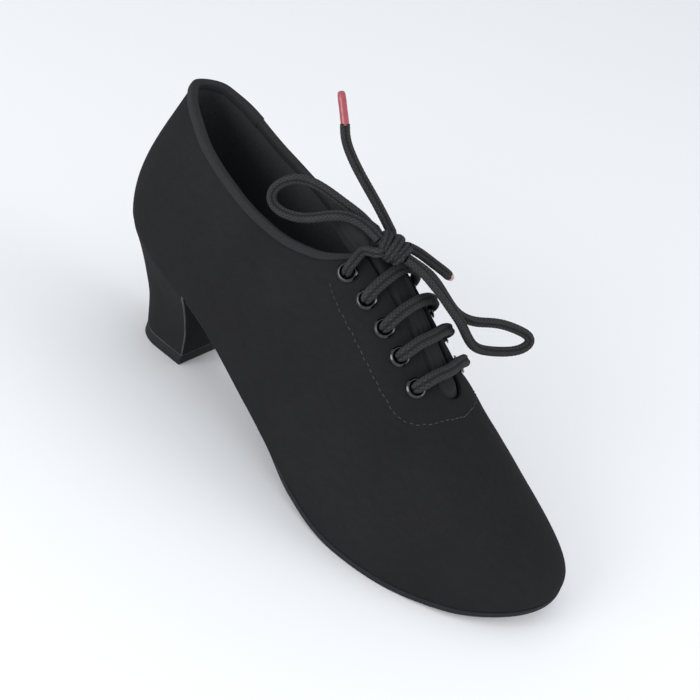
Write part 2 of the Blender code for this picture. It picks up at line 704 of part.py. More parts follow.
def build_binding():
    """Folded tape over the collar's edge, from one facing's corner round the back to the other."""
    near = np.linspace(CORNER_ROW, 0, COLLAR_STATIONS)
    near[0] -= 0.02
    places = np.concatenate([near, -near[-2::-1]])
    low, thick = GAP, GAP + BINDING_THICKNESS
    rings = []
    for around in places:
        edge = edge_climb(around)
        climbs = np.linspace(edge, edge * 0.55, 40)
        line = last_skin(np.full(40, around), climbs)
        run = np.append(0, np.cumsum(np.linalg.norm(np.diff(line, axis=0), axis=1)))
        narrowing = (CORNER_ROW - 0.35, CORNER_ROW - 0.1)
        width = np.interp(row_of(around), narrowing, (BINDING_WIDTH, BINDING_END))
        climb_at = np.interp((0, width / 2, width), run, climbs)
        place = np.full(3, around)
        skin, normal = last_skin(place, climb_at), skin_normal(place, climb_at)
        over = (line[0] - line[1]) / np.linalg.norm(line[0] - line[1])
        outside = [skin[i] + normal[i] * thick for i in (2, 1, 0)]
        outside += [skin[0] + normal[0] * thick * 0.6 + over * thick,
                    skin[0] - normal[0] * (WALL + thick * 0.6) + over * thick]
        outside += [skin[i] - normal[i] * (WALL + thick) for i in (0, 1, 2)]
        inside = [skin[i] + normal[i] * low for i in (2, 1, 0)]
        inside += [skin[0] + normal[0] * low + over * low, skin[0] - normal[0] * (WALL + low) + over * low]
        inside += [skin[i] - normal[i] * (WALL + low) for i in (0, 1, 2)]
        rings.append(np.array(outside + inside[::-1]))
    count = len(rings[0])
    add_object("collar_binding", np.vstack(rings),
               ring_faces(len(rings), count, False) + strip_caps(len(rings), count), "binding_tape")


def lace_out_of(side, number, clear=0.7):
    """The first stops of a run of lace: out of an eyelet's bore and clear over the edge of its facing."""
    centre, normal = eyelet_place(side, number)
    place = place_of(side, row_at(EYELET_FIRST + number * EYELET_PITCH))
    edge = facing_climb(place)
    rim, rim_normal = last_skin(place, edge), skin_normal(place, edge)
    inwards = rim - centre
    return [centre + 0.5 * normal, centre + 0.04 * inwards + 2.4 * normal,
            centre + 0.35 * inwards + (LACE / 2 + 2.1) * normal, rim + (LACE / 2 + clear) * rim_normal]


def build_bars():
    """The straight bars of the lace, from eyelet to eyelet over the tongue, below the top pair."""
    for number in range(1, EYELETS):
        row = row_at(EYELET_FIRST + number * EYELET_PITCH)
        middle, lift = last_skin(row, RIDGE_CLIMB), skin_normal(row, RIDGE_CLIMB)
        middle = middle + lift * (LACE / 2 + 0.5 - TONGUE_CROWN)
        middle[1] = 0
        stops = lace_out_of(LATERAL, number) + [middle] + lace_out_of(MEDIAL, number)[::-1]
        tube(f"lace_bar_{number + 1}", stops, LACE, "lace_braid")


def build_bow():
    """The top runs of the lace, the knot that they enter, and the bow's loops and ends."""
    knot = np.array(KNOT_CENTRE)
    turn = np.linspace(math.pi / 2, -math.pi / 2, 8)
    profile = [(KNOT_HALF_WIDTH * math.cos(angle), KNOT_HALF_HEIGHT * math.sin(angle)) for angle in turn]
    profile[0], profile[-1] = (0.0, KNOT_HALF_HEIGHT), (0.0, -KNOT_HALF_HEIGHT)
    turned("lace_knot", profile, knot, np.array(KNOT_AXIS), "lace_braid")
    for side, name in SIDES:
        over_binding = 2 * GAP + BINDING_THICKNESS + RUN_CLEARANCE
        stops = lace_out_of(side, 0, over_binding) + [knot + (-1.5, side * (KNOT_HALF_WIDTH + 1.8), -0.4)]
        tube(f"lace_run_{name}", stops, LACE, "lace_braid")
    for name, stops in BOW.items():
        cord(name, stops, LACE, "lace_braid")
    for name, tagged in AGLETS.items():
        before, end = smooth_route(BOW[tagged], CORD_SPACING)[-2:]
        axis = (end - before) / np.linalg.norm(end - before)
        profile = ((0, 0), (AGLET / 2, 0), (AGLET / 2, AGLET_LENGTH - 1), (AGLET / 2 - 0.7, AGLET_LENGTH),
                   (0, AGLET_LENGTH))
        turned(name, profile, end + axis * GAP, axis, "aglet_plastic", sides=10)


for item in list(bpy.data.objects):
    bpy.data.objects.remove(item, do_unlink=True)
MATERIALS = {name: new_material(name) for name in FINISHES}
build_upper()
build_outsole()
build_heel()
build_insole()
build_tongue()
build_binding()
build_eyelets()
build_bars()
build_bow()
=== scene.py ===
# %% [markdown]
# # A lace-up dance shoe
# This lesson dresses one right-foot practice shoe for Latin dance: a matt black cloth upper, a taped collar,
# a braided lace in a bow, a thin suede sole and a covered Cuban heel. The frame holds the solid model in its
# real size. Each step below makes one piece of the shoe finer and gives it its finish.

# %% The frame and its box
import math

import bmesh
import bpy
import numpy as np
from mathutils import Matrix


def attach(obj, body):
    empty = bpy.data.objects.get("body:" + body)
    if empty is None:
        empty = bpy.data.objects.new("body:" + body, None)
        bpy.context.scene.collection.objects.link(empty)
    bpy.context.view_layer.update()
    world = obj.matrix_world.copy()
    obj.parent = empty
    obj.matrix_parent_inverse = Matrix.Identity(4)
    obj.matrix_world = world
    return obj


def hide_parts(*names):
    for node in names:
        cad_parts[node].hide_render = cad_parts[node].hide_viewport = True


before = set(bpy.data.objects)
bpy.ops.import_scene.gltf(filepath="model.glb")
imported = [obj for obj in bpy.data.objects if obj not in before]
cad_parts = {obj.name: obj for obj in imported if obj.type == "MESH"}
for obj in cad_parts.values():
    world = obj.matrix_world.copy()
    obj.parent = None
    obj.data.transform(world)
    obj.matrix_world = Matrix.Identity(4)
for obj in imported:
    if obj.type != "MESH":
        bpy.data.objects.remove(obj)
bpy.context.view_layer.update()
print("CAD nodes:", len(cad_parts))

# %% [markdown]
# ## The camera
# The photographer stood before the shoe's outer side and looked down on it, with the camera tipped so that
# the toe falls to the lower right. All places are written in the shoemaker's measure: millimetres from the
# back of the last, with the outer side at negative values across. One function moves them into the frame.

# %% The shoe's measure and the camera
MIDDLE_OF_SHOE = (121.163, -1.858, 0.0)
MILLIMETRE = 0.001
EYE = np.array((354.6, -480.8, 396.2))
AIM = np.array((119.3, 4.9, 46.8))
AZIMUTH, ELEVATION, ROLL = np.radians((31.66, 35.68, 19.17))
LENS, SENSOR, NEAREST_SEEN = 83.0, 36.0, 0.01


def in_frame(points):
    """Millimetres of the last to metres of the frame."""
    return (np.asarray(points, float) - MIDDLE_OF_SHOE) * MILLIMETRE


def unit(vectors):
    """The same directions, with lengths of one."""
    vectors = np.asarray(vectors, float)
    return vectors / np.linalg.norm(vectors, axis=-1, keepdims=True)


def show(name, data):
    """A new object in the scene, from a mesh, a lamp or a camera."""
    item = bpy.data.objects.new(name, data)
    bpy.context.scene.collection.objects.link(item)
    return item


def put(item, place, right, up, back):
    """Sets a camera or a lamp at a place in the frame, with its own three directions."""
    turn = Matrix([[right[i], up[i], back[i]] for i in range(3)]).to_4x4()
    item.matrix_world = Matrix.Translation(place) @ turn


level = np.array((math.cos(AZIMUTH), math.sin(AZIMUTH), 0.0))
photo_back = np.array((math.sin(AZIMUTH) * math.cos(ELEVATION), -math.cos(AZIMUTH) * math.cos(ELEVATION),
                       math.sin(ELEVATION)))
photo_up = math.cos(ROLL) * np.cross(photo_back, level) - math.sin(ROLL) * level
back = unit(EYE - AIM)
right = unit(np.cross(photo_up, back))
up = np.cross(back, right)
camera_data = bpy.data.cameras.new("camera")
camera_data.lens = LENS
camera_data.sensor_width = SENSOR
camera_data.clip_start = NEAREST_SEEN
camera = show("camera", camera_data)
put(camera, in_frame(EYE), right, up, back)
bpy.context.scene.camera = camera
print("camera to shoe, mm:", round(float(np.linalg.norm(EYE - AIM))))

# %% [markdown]
# ## Finishes as sums
# A finish is a small recipe: a colour, a roughness, and some relief that is too fine to model. Here a number
# that varies over a surface is written like any other number, and its signs build the nodes. Cloth, braid,
# suede and metal then differ only in the sums.

# %% A small language for finishes
class Field:
    """A number that varies over a surface; the usual signs build maths nodes."""

    def __init__(self, tree, socket):
        self.tree = tree
        self.socket = socket

    def maths(self, operation, *values):
        node = self.tree.nodes.new("ShaderNodeMath")
        node.operation = operation
        for socket, value in zip(node.inputs, values):
            plug(self.tree, socket, value)
        return Field(self.tree, node.outputs[0])

    def __add__(self, other):
        return self.maths("ADD", self, other)

    def __radd__(self, other):
        return self.maths("ADD", other, self)

    def __sub__(self, other):
        return self.maths("SUBTRACT", self, other)

    def __rsub__(self, other):
        return self.maths("SUBTRACT", other, self)

    def __mul__(self, other):
        return self.maths("MULTIPLY", self, other)

    def __rmul__(self, other):
        return self.maths("MULTIPLY", other, self)

    def __truediv__(self, other):
        return self.maths("DIVIDE", self, other)

    def __rtruediv__(self, other):
        return self.maths("DIVIDE", other, self)

    def __abs__(self):
        return self.maths("ABSOLUTE", self)

    def floor(self):
        return self.maths("FLOOR", self)

    def sine(self):
        return self.maths("SINE", self)

    def even(self):
        """1 where the number's whole part is even, and 0 where it is odd."""
        return 1.0 - self.maths("FLOORED_MODULO", self.floor(), 2.0)


def plug(tree, socket, value):
    """Links a field to a socket, or sets a plain value on it."""
    if isinstance(value, Field):
        tree.links.new(value.socket, socket)
    else:
        socket.default_value = value


class Finish:
    """A material under a Principled shader, with plain values given by their socket names."""

    def __init__(self, name, colour, roughness, **values):
        self.material = bpy.data.materials.new(name)
        self.material.use_nodes = True
        self.tree = self.material.node_tree
        self.shader = self.tree.nodes["Principled BSDF"]
        self.feed("Base Color", (*colour, 1.0))
        self.feed("Roughness", roughness)
        for socket, value in values.items():
            self.feed(socket.replace("_", " "), value)

    def feed(self, socket, value):
        plug(self.tree, self.shader.inputs[socket], value)

    def node(self, kind, settings, sockets, output=0):
        node = self.tree.nodes.new("ShaderNode" + kind)
        for key, value in settings.items():
            setattr(node, key, value)
        for key, value in sockets.items():
            plug(self.tree, node.inputs[key], value)
        return Field(self.tree, node.outputs[output])

    def noise(self, size, detail=2.0, stretch=(1.0, 1.0, 1.0)):
        """Mottling with spots about size millimetres across."""
        place = self.node("TexCoord", {}, {}, "Object")
        place = self.node("VectorMath", {"operation": "MULTIPLY"}, {0: place, 1: stretch})
        return self.node("TexNoise", {}, {"Vector": place, "Scale": 1000.0 / size, "Detail": detail})

    def net(self):
        """The two measures of the piece's own net, along and across."""
        net = self.node("UVMap", {"uv_map": "net"}, {})
        return tuple(self.node("SeparateXYZ", {}, {0: net}, axis) for axis in ("X", "Y"))

    def shade(self, factor, dark, light):
        """Base colour between two colours."""
        colours = {0: factor, 6: (*dark, 1.0), 7: (*light, 1.0)}
        self.feed("Base Color", self.node("Mix", {"data_type": "RGBA"}, colours, 2))

    def relief(self, height, millimetres, strength=1.0):
        """Fine relief, as deep as so many millimetres."""
        values = {"Height": height, "Distance": millimetres * MILLIMETRE, "Strength": strength}
        self.feed("Normal", self.node("Bump", {}, values))

    def mottle(self, dark, light, nap, cloud=None, share=1.0, relief=None):
        """Base colour by nap, or by a share of it and the rest of cloud; nap can make the relief too."""
        self.shade(nap if cloud is None else nap * share + cloud * (1.0 - share), dark, light)
        if relief:
            self.relief(nap, *relief)
        return nap


print("a finish sets Base Color, Roughness and Normal")

# %% [markdown]
# ## Pieces from nets
# Most pieces here are nets: rings of points, each ring joined to the next. A net keeps two measures for every
# corner, so that a weave or a braid can follow the piece. Faces must look outwards, which the sign of the
# enclosed volume tells.

# %% Helpers for nets and pieces
WELD, SMOOTH_UP_TO = 0.000002, math.radians(50)


def net_faces(rings, count, closed, along=None, across=None):
    """Quads between rings of count points, and the two measures of every corner."""
    along = np.arange(rings + 1.0) if along is None else along
    across = np.arange(count + 1.0) if across is None else across
    faces, measures = [], []
    for ring in range(rings if closed else rings - 1):
        for i in range(count):
            corners = ((ring, i), (ring, i + 1), (ring + 1, i + 1), (ring + 1, i))
            faces.append([r % rings * count + k % count for r, k in corners])
            measures.append([(along[r], across[k]) for r, k in corners])
    return faces, measures


def volume(points, faces):
    """Six times the volume inside the faces; negative if they look inwards."""
    total = 0.0
    points = np.asarray(points, float) - np.mean(points, axis=0)
    for face in faces:
        fan = [(face[0], face[i], face[i + 1]) for i in range(1, len(face) - 1)]
        total += sum(np.dot(points[a], np.cross(points[b], points[c])) for a, b, c in fan)
    return total


def capped(rings, along=None, across=None):
    """A net through rings of points, closed by a face at each end."""
    size = len(rings[0])
    faces, measures = net_faces(len(rings), size, False, along, across)
    last = (len(rings) - 1) * size
    faces += [list(range(size))[::-1], list(range(last, last + size))]
    measures += [[(0.0, 0.0)] * size] * 2
    return np.vstack(rings), faces, measures


def weld(mesh, outwards=False):
    """Joins the points of a mesh that lie on each other; its faces can be turned outwards too."""
    work = bmesh.new()
    work.from_mesh(mesh)
    bmesh.ops.remove_doubles(work, verts=work.verts, dist=WELD)
    if outwards:
        bmesh.ops.recalc_face_normals(work, faces=work.faces)
    work.to_mesh(mesh)
    work.free()


def dress(piece, replaced=()):
    """Tells the frame what a piece rides on, and hides the solids it stands for."""
    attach(piece, "root")
    if replaced:
        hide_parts(*replaced)
    return piece


def add_piece(name, net, finishes, replaced=(), kinds=None):
    """Adds a piece of the shoe from (points, faces, measures); kinds picks a finish for each face."""
    points, faces, measures = net
    if volume(points, faces) < 0:
        faces = [face[::-1] for face in faces]
        measures = [corners[::-1] for corners in measures]
    mesh = bpy.data.meshes.new(name)
    mesh.from_pydata(in_frame(points).tolist(), [], faces)
    layer = mesh.uv_layers.new(name="net")
    layer.data.foreach_set("uv", np.array([m for corners in measures for m in corners], float).ravel())
    if kinds is not None:
        mesh.polygons.foreach_set("material_index", np.array(kinds, int))
    weld(mesh)
    mesh.shade_smooth()
    mesh.set_sharp_from_angle(angle=SMOOTH_UP_TO)
    for finish in finishes:
        mesh.materials.append(finish.material)
    return dress(show(name, mesh), replaced)


print("helpers ready")

# %% [markdown]
# ## The last
# A shoe is built round a last, the wooden shape of a foot. Its skin is given by sections from the heel to the
# toe. Each section climbs from the feather edge, where the sole begins, to the ridge of the instep. Every
# piece below is cut from this one skin, at a finer step than the solid model needs.

# %% The last's tables and skin
LENGTH, BALL_WIDTH, INSTEP_HEIGHT, HEEL_HEIGHT, TOE_SPRING = 240.0, 80.0, 108.0, 46.4, 9.0
WALL, GAP, SOLE_THICKNESS = 1.8, 0.3, 2.6
COLUMNS = ("along", "lateral", "medial", "ridge_along", "ridge_lateral", "ridge_medial", "ridge_top",
           "bulge", "rise", "reach", "crown", "pitch")
SECTIONS = dict(zip(COLUMNS, np.array((
    (0.016, 0.000, 0.000, 0.063, 0.019, 0.019, 1.25, 6.4, 28.2, -2.4, 29.2, 0),
    (0.066, -0.217, 0.217, 0.087, -0.081, 0.128, 1.25, 6.4, 28.2, -2.4, 29.2, 0),
    (0.161, -0.331, 0.331, 0.191, -0.266, 0.112, 1.25, 2.0, 28.2, -2.4, 29.2, 0),
    (0.298, -0.348, 0.285, 0.298, -0.202, 0.142, 1.15, 9.2, 31, 0, 26, 0),
    (0.434, -0.386, 0.248, 0.438, 0.000, 0.000, 1.004, 11.2, 37, 9, 2.4, 24),
    (0.561, -0.464, 0.334, 0.565, 0.000, 0.000, 0.816, 7.1, 31, 19.5, -0.6, 31),
    (0.672, -0.521, 0.445, 0.685, 0.000, 0.000, 0.626, 4.1, 31, 27, 3, 33),
    (0.786, -0.496, 0.476, 0.685, 0.000, 0.000, 0.626, 3.0, 28, 23, 2, 34),
    (0.901, -0.356, 0.408, 0.685, 0.000, 0.000, 0.626, 3.0, 18, 31, 1, 34),
    (0.974, -0.165, 0.270, 0.685, 0.000, 0.000, 0.626, 4.0, 13, 37, 0, 34),
    (0.997, 0.052, 0.052, 0.685, 0.000, 0.000, 0.626, 4.0, 13, 39, 0, 34))).T))
UNDERSIDE = np.array((
    (-0.02, 1.04, 0.0), (0.085, 1.00, 0.0), (0.19, 0.895, 0.0), (0.298, 0.70, 0.0), (0.425, 0.39, 0.0),
    (0.553, 0.145, 0.0), (0.65, 0.025, 0.0), (0.70, 0.0, 0.0), (0.79, 0.0, 0.0), (0.893, 0.0, 0.20),
    (1.01, 0.0, 1.05))).T
COLLAR = np.array((
    (-0.02, 110.0, 110.0), (0.05, 109.5, 109.5), (0.128, 106.7, 107.6), (0.234, 96.5, 98.5),
    (0.31, 90.8, 93.0), (0.375, 88.3, 90.5), (0.42, 89.5, 91.0))).T
FACING_TOP, FACING_FOOT, THROAT_HALF_GAP, FACING_SPREAD = 116.5, 160.0, 7.2, 1.8
LAST_ROW = 10
TURN = 2 * LAST_ROW
LATERAL, MEDIAL = -1, 1
CLIMBS, RIDGE_ROWS = np.linspace(0, 1, 400), np.linspace(3.5, 6.0, 400)


def smooth_table(places, values, at):
    """Reads a short table as one smooth curve that doesn't overshoot its rows."""
    places, values = np.asarray(places, float), np.asarray(values, float)
    at = np.clip(np.asarray(at, float), places[0], places[-1])
    steps = np.diff(places)
    slopes = np.diff(values) / steps
    tangents = np.zeros(len(values))
    for i in range(1, len(values) - 1):
        if slopes[i - 1] * slopes[i] > 0:
            tangents[i] = 2 / (1 / slopes[i - 1] + 1 / slopes[i])
    tangents[0], tangents[-1] = slopes[0], slopes[-1]
    span = np.clip(np.searchsorted(places, at, side="right") - 1, 0, len(steps) - 1)
    part = (at - places[span]) / steps[span]
    lead, trail = tangents[span] * steps[span], tangents[span + 1] * steps[span]
    rise = values[span + 1] - values[span]
    bend, twist = 3 * rise - 2 * lead - trail, lead + trail - 2 * rise
    return values[span] + part * (lead + part * (bend + part * twist))


def between(before, start, end, after, part):
    """A smooth curve through start and end, led by their neighbours."""
    bend = 2 * before - 5 * start + 4 * end - after
    twist = 3 * (start - end) + after - before
    return start + 0.5 * part * (end - before + part * (bend + part * twist))


def feather_outline(around):
    """Plan of the feather edge: from the back along the outer side to the toe, and back inside."""
    x = SECTIONS["along"] * LENGTH
    outer = np.stack([x, SECTIONS["lateral"] * BALL_WIDTH], 1)
    inner = np.stack([x, SECTIONS["medial"] * BALL_WIDTH], 1)
    rows = np.vstack([outer, inner[-2:0:-1]])
    around = np.mod(around, TURN)
    first = np.floor(around).astype(int)
    near = (rows[(first + step) % TURN] for step in (-1, 0, 1, 2))
    return between(*near, (around - first)[:, None])


def outline_offset(around, outwards):
    """The feather outline moved outwards in plan."""
    step = 0.02
    along = unit(feather_outline(around + step) - feather_outline(around - step))
    return feather_outline(around) + np.stack([along[:, 1], -along[:, 0]], 1) * np.reshape(outwards, (-1, 1))


def underside(x):
    return smooth_table(UNDERSIDE[0] * LENGTH, UNDERSIDE[1] * HEEL_HEIGHT + UNDERSIDE[2] * TOE_SPRING, x)


def feather_height(x):
    return underside(x) + SOLE_THICKNESS + GAP


def section_value(name, around, share=1.0, mirrored=False):
    """A section's value; a mirrored one runs level where both sides meet at the back."""
    around = np.mod(around, TURN)
    values, rows = SECTIONS[name] * share, np.arange(LAST_ROW + 1)
    if mirrored:
        values, rows = np.append(values[1], values), np.arange(-1, LAST_ROW + 1)
    return smooth_table(rows, values, np.minimum(around, TURN - around))


def ridge_point(around):
    across = np.where(np.mod(around, TURN) <= LAST_ROW, section_value("ridge_lateral", around, BALL_WIDTH),
                      section_value("ridge_medial", around, BALL_WIDTH))
    return np.stack([section_value("ridge_along", around, LENGTH, True), across,
                     section_value("ridge_top", around, INSTEP_HEIGHT)], -1)


def last_skin(around, climb):
    """Points of the last: climb runs from 0 at the feather edge to 1 on the ridge."""
    around, climb = np.broadcast_arrays(np.asarray(around, float), np.asarray(climb, float))
    shape = around.shape
    around, climb = around.ravel(), climb.ravel()[:, None]
    plan = feather_outline(around)
    foot = np.column_stack([plan, feather_height(plan[:, 0])])
    ridge = ridge_point(around)
    outwards = unit(foot[:, :2] - ridge[:, :2])
    low, high = foot.copy(), ridge.copy()
    low[:, :2] += outwards * section_value("bulge", around)[:, None]
    low[:, 2] += section_value("rise", around)
    reach = section_value("reach", around)
    high[:, :2] += outwards * reach[:, None]
    fall = reach * outwards[:, 0] * np.tan(np.radians(section_value("pitch", around)))
    high[:, 2] -= section_value("crown", around) + fall
    rest = 1 - climb
    points = rest**3 * foot + 3 * climb * rest**2 * low + 3 * climb**2 * rest * high + climb**3 * ridge
    return points.reshape(shape + (3,))


def skin_normal(around, climb):
    """Outward direction of the skin."""
    step = 0.004
    along = last_skin(np.add(around, step), climb) - last_skin(np.subtract(around, step), climb)
    rise = last_skin(around, np.add(climb, step)) - last_skin(around, np.subtract(climb, step))
    return unit(np.cross(along, rise))


def first_climb(around, stops):
    """The climb where a test on the skin's points first stops the wall."""
    passed = stops(last_skin(around, CLIMBS))
    index = int(np.argmax(passed > 0))
    before, after = passed[index - 1], passed[index]
    return CLIMBS[index - 1] + CLIMBS[1] * (-before / (after - before))


def throat_half_gap(ridge_x):
    """Half of the gap between the facings, which spread towards the collar."""
    share = np.clip((FACING_FOOT - ridge_x) / (FACING_FOOT - FACING_TOP), 0, 1)
    return THROAT_HALF_GAP + FACING_SPREAD * share


def facing_climb(around, half_gap=None):
    """Climb at a distance from the ridge in plan: at the facing's edge, or half_gap away."""
    ridge = ridge_point(np.array([around]))[0]
    if half_gap is None:
        half_gap = throat_half_gap(ridge[0])
    return first_climb(around, lambda points: half_gap - np.hypot(*(points - ridge)[:, :2].T))


def row_at(ridge_x):
    """The row whose ridge lies at a place along the last."""
    return float(np.interp(ridge_x, section_value("ridge_along", RIDGE_ROWS, LENGTH), RIDGE_ROWS))


def place_of(side, row):
    """Where a row of one side lies round the feather edge."""
    return row if side == LATERAL else TURN - row


CORNER_ROW = row_at(FACING_TOP)
CORNERS = {side: last_skin(place_of(side, CORNER_ROW), facing_climb(place_of(side, CORNER_ROW)))
           for side in (LATERAL, MEDIAL)}


def edge_climb(around):
    """Climb at the wall's upper edge: the collar behind the facings' corners, the throat before them."""
    around = float(np.mod(around, TURN))
    if CORNER_ROW <= around <= TURN - CORNER_ROW:
        return facing_climb(around)
    side = LATERAL if around <= LAST_ROW else MEDIAL
    places = np.append(COLLAR[0] * LENGTH, CORNERS[side][0])
    heights = np.append(COLLAR[1 if side == LATERAL else 2], CORNERS[side][2])
    return first_climb(around, lambda points: points[:, 2] - smooth_table(places, heights, points[:, 0]))


print("corners of the facings, mm:", {side: np.round(point, 1).tolist() for side, point in CORNERS.items()})

# %% [markdown]
# ## Braided lace
# The lace is a round braid of soft cotton yarn, about 4 mm thick. Strands wind round it both ways and pass
# over and under each other, so its surface is a net of small diamonds. The diamonds are modelled as a shallow
# relief, and the finish repeats them with finer yarn. A groove runs along two sides of it. The colour is
# painted darker in the hollows between strands and in a line along each groove: painted shade.

# %% Braid and its finish
LACE, BRAID_RELIEF = 4.0, 0.16
DIAMONDS, DIAMOND_LENGTH, YARNS = 4, 1.7, 4
# The last of these is the width of the line of painted shade along each groove.
LACE_GROOVE, GROOVE_SPREAD, GROOVE_SHADE_WIDTH = 0.24, 0.07, 0.07
FLATTENED, FLATTENED_OVER = 1.28, 6.0
LACE_FACE = unit((0.42, -0.60, 0.68))
CURVE_STEPS = 24

braid = Finish("lace_braid", (0.04, 0.04, 0.041), 0.95, Specular_IOR_Level=0.15)
run, around_lace = braid.net()
rising = around_lace * (2 * DIAMONDS) + run / DIAMOND_LENGTH
falling = around_lace * (2 * DIAMONDS) - run / DIAMOND_LENGTH
over = (rising.floor() + falling.floor()).even()
strand = over * abs((falling * math.pi).sine()) + (1.0 - over) * abs((rising * math.pi).sine())
twist = YARNS * math.pi
yarn = over * abs((rising * twist).sine()) + (1.0 - over) * abs((falling * twist).sine())
# The colour is darker in the hollows between strands and along both grooves: painted shade, mixed with random
# mottling.
from_groove = abs(abs(around_lace - 0.5) - 0.25) / GROOVE_SHADE_WIDTH
groove_shade_factor = from_groove.maths("MINIMUM", from_groove, 1.0)
braid.shade((strand * 0.65 + braid.noise(3.0) * 0.35) * (groove_shade_factor * 0.8 + 0.2), (0.0065, 0.0065, 0.0069),
            (0.045, 0.046, 0.0474))
braid.relief(strand + yarn * 0.15, 0.2, 0.7)


def lengths_along(line):
    """Length of a line of points up to each of them."""
    return np.append(0, np.cumsum(np.linalg.norm(np.diff(line, axis=0), axis=1)))


def smooth_route(stops, spacing):
    """Points at about equal spacing along a smooth curve through a cord's stops."""
    stops = np.asarray(stops, float)
    padded = np.vstack([2 * stops[0] - stops[1], stops, 2 * stops[-1] - stops[-2]])
    dense = [between(*padded[i:i + 4], part) for i in range(len(stops) - 1)
             for part in np.linspace(0, 1, CURVE_STEPS, endpoint=False)]
    dense = np.array(dense + [stops[-1]])
    length = lengths_along(dense)
    even = np.linspace(0, length[-1], max(3, round(length[-1] / spacing) + 1))
    return np.column_stack([np.interp(even, length, dense[:, axis]) for axis in range(3)])


def turnings_along(tangents):
    """A direction across a route at each point, carried from its middle without a twist."""
    turnings, middle = np.zeros_like(tangents), len(tangents) // 2
    turnings[middle] = unit(np.cross(LACE_FACE, tangents[middle]))
    for order in (range(middle + 1, len(tangents)), range(middle - 1, -1, -1)):
        held = turnings[middle]
        for i in order:
            held = unit(held - tangents[i] * np.dot(held, tangents[i]))
            turnings[i] = held
    return turnings


def braid_net(stops, spacing=0.42, sides=32, flattened=1.0):
    """A braided tube along the stops, pinched on two sides; halfway, one of them looks to LACE_FACE."""
    route = smooth_route(stops, spacing)
    tangents = unit(np.gradient(route, axis=0))
    length = lengths_along(route)
    angles = np.linspace(0, math.tau, sides, endpoint=False)
    pinch = 1 - LACE_GROOVE * np.exp(-((abs(np.sin(angles)) - 1) / GROOVE_SPREAD)**2)
    from_end = np.clip(np.minimum(length, length[-1] - length) / FLATTENED_OVER, 0, 1)
    widths = 1 + (flattened - 1) * from_end**2 * (3 - 2 * from_end)
    rings = []
    for place, tangent, turning, far, wide in zip(route, tangents, turnings_along(tangents), length, widths):
        lift = np.cross(tangent, turning)
        first = DIAMONDS * angles / math.pi + far / DIAMOND_LENGTH
        second = DIAMONDS * angles / math.pi - far / DIAMOND_LENGTH
        on_top = (np.floor(first) + np.floor(second)) % 2 == 0
        height = np.where(on_top, abs(np.sin(second * math.pi)), abs(np.sin(first * math.pi)))
        radius = (LACE / 2 - BRAID_RELIEF * (1 - height)) * pinch
        spokes = wide * np.cos(angles)[:, None] * turning + np.sin(angles)[:, None] * lift
        rings.append(place + radius[:, None] * spokes)
    return capped(rings, np.append(length, length[-1]), np.arange(sides + 1) / sides)


def joined(*nets):
    """Several nets as one."""
    points, faces, measures = [], [], []
    for net in nets:
        shift = sum(len(part) for part in points)
        points.append(net[0])
        faces.extend([[shift + i for i in face] for face in net[1]])
        measures.extend(net[2])
    return np.vstack(points), faces, measures


print("diamonds round the lace:", 2 * DIAMONDS)

# %% [markdown]
# ## The bow
# The bow has two loops and two ends that spring from the knot. They are free cords. One loop falls back
# over the collar, the other over the inner side. One end stands up behind the knot, as a freshly cut stiff
# lace does, and the other lies over the inner side. The routes are eased after they are laid, because a lace
# bends but doesn't kink.

# %% Loops and ends of the bow
BOW_STOPS = {
    "lace_loop_lat": (
        (117.8, -5.5, 103.2), (109.3, -5, 106.2), (100, -7, 107.9), (86.9, -10, 109.6), (78.7, -13, 107.8),
        (73.6, -17, 101.0), (75.6, -18.5, 96.2), (82.5, -18, 95.4), (91.6, -17, 98.7), (104.1, -14, 107.6),
        (112.8, -11, 108.0), (119.7, -9.4, 105.5)),
    "lace_loop_med": (
        (131.3, 0.4, 99.9), (138.4, 6, 96.4), (145.6, 11, 89.0), (150.2, 15.5, 83.4), (155.0, 23, 80.2),
        (160.9, 36, 78.8), (169.5, 46, 75.8), (172.0, 47, 73.6), (169.8, 40, 69.9), (160.9, 26, 69.4),
        (157.6, 18.5, 75.4), (155.0, 13, 82.4), (150.4, 7, 89.4), (144.0, 3, 95.2), (135.6, -1.6, 100.9),
        (131.2, -4.8, 102.7)),
    "lace_end_back": (
        (118.8, 0.2, 105.3), (107.8, 4, 108.9), (92.1, 8, 114.3), (82.5, 11.3, 118.0),
        (77.6, 13.2, 121.2), (75.9, 13.8, 124.6)),
    "lace_end_med": (
        (126.0, 3.0, 102.5), (128.3, 8.4, 100.2), (133.0, 15, 95.9), (136.5, 20, 92.8), (136.2, 25, 89.4),
        (134.2, 30, 86.4)),
}
ROUTE_STEP, AGLET, AGLET_CHORD = 2.0, 3.4, 8.0
AGLET_PROFILE = (
    (-1.0, 0.0), (-0.95, 0.9), (0.6, 1.0), (3.0, 1.0), (6.0, 0.97), (9.0, 1.0), (11.3, 0.95), (12.3, 0.85),
    (12.8, 0.6), (12.8, 0.0))
TAGS = {"lace_end_back": "aglet_back", "lace_end_med": "aglet_med"}
aglet = Finish("aglet_plastic", (0.31, 0.05, 0.066), 0.35, Coat_Weight=0.3, Coat_Roughness=0.2)
aglet.mottle((0.22, 0.028, 0.040), (0.40, 0.075, 0.095), aglet.noise(1.6), relief=(0.05, 0.5))


def spokes_round(axis, sides):
    """Directions away from an axis, all round it."""
    first = unit(np.cross(axis, (0.0, 1.0, 0.0)))
    angles = np.linspace(0, math.tau, sides, endpoint=False)[:, None]
    return np.cos(angles) * first + np.sin(angles) * np.cross(axis, first)


def aglet_net(stops, sides=24):
    """The plastic tag on a lace end: a crimped tube, rolled a little at its tip."""
    before, end = smooth_route(stops, AGLET_CHORD)[-2:]
    axis = unit(end - before)
    spokes = spokes_round(axis, sides)
    rings = [end + axis * far + spokes * (wide * AGLET / 2) for far, wide in AGLET_PROFILE]
    return (np.vstack(rings), *net_faces(len(rings), sides, False))


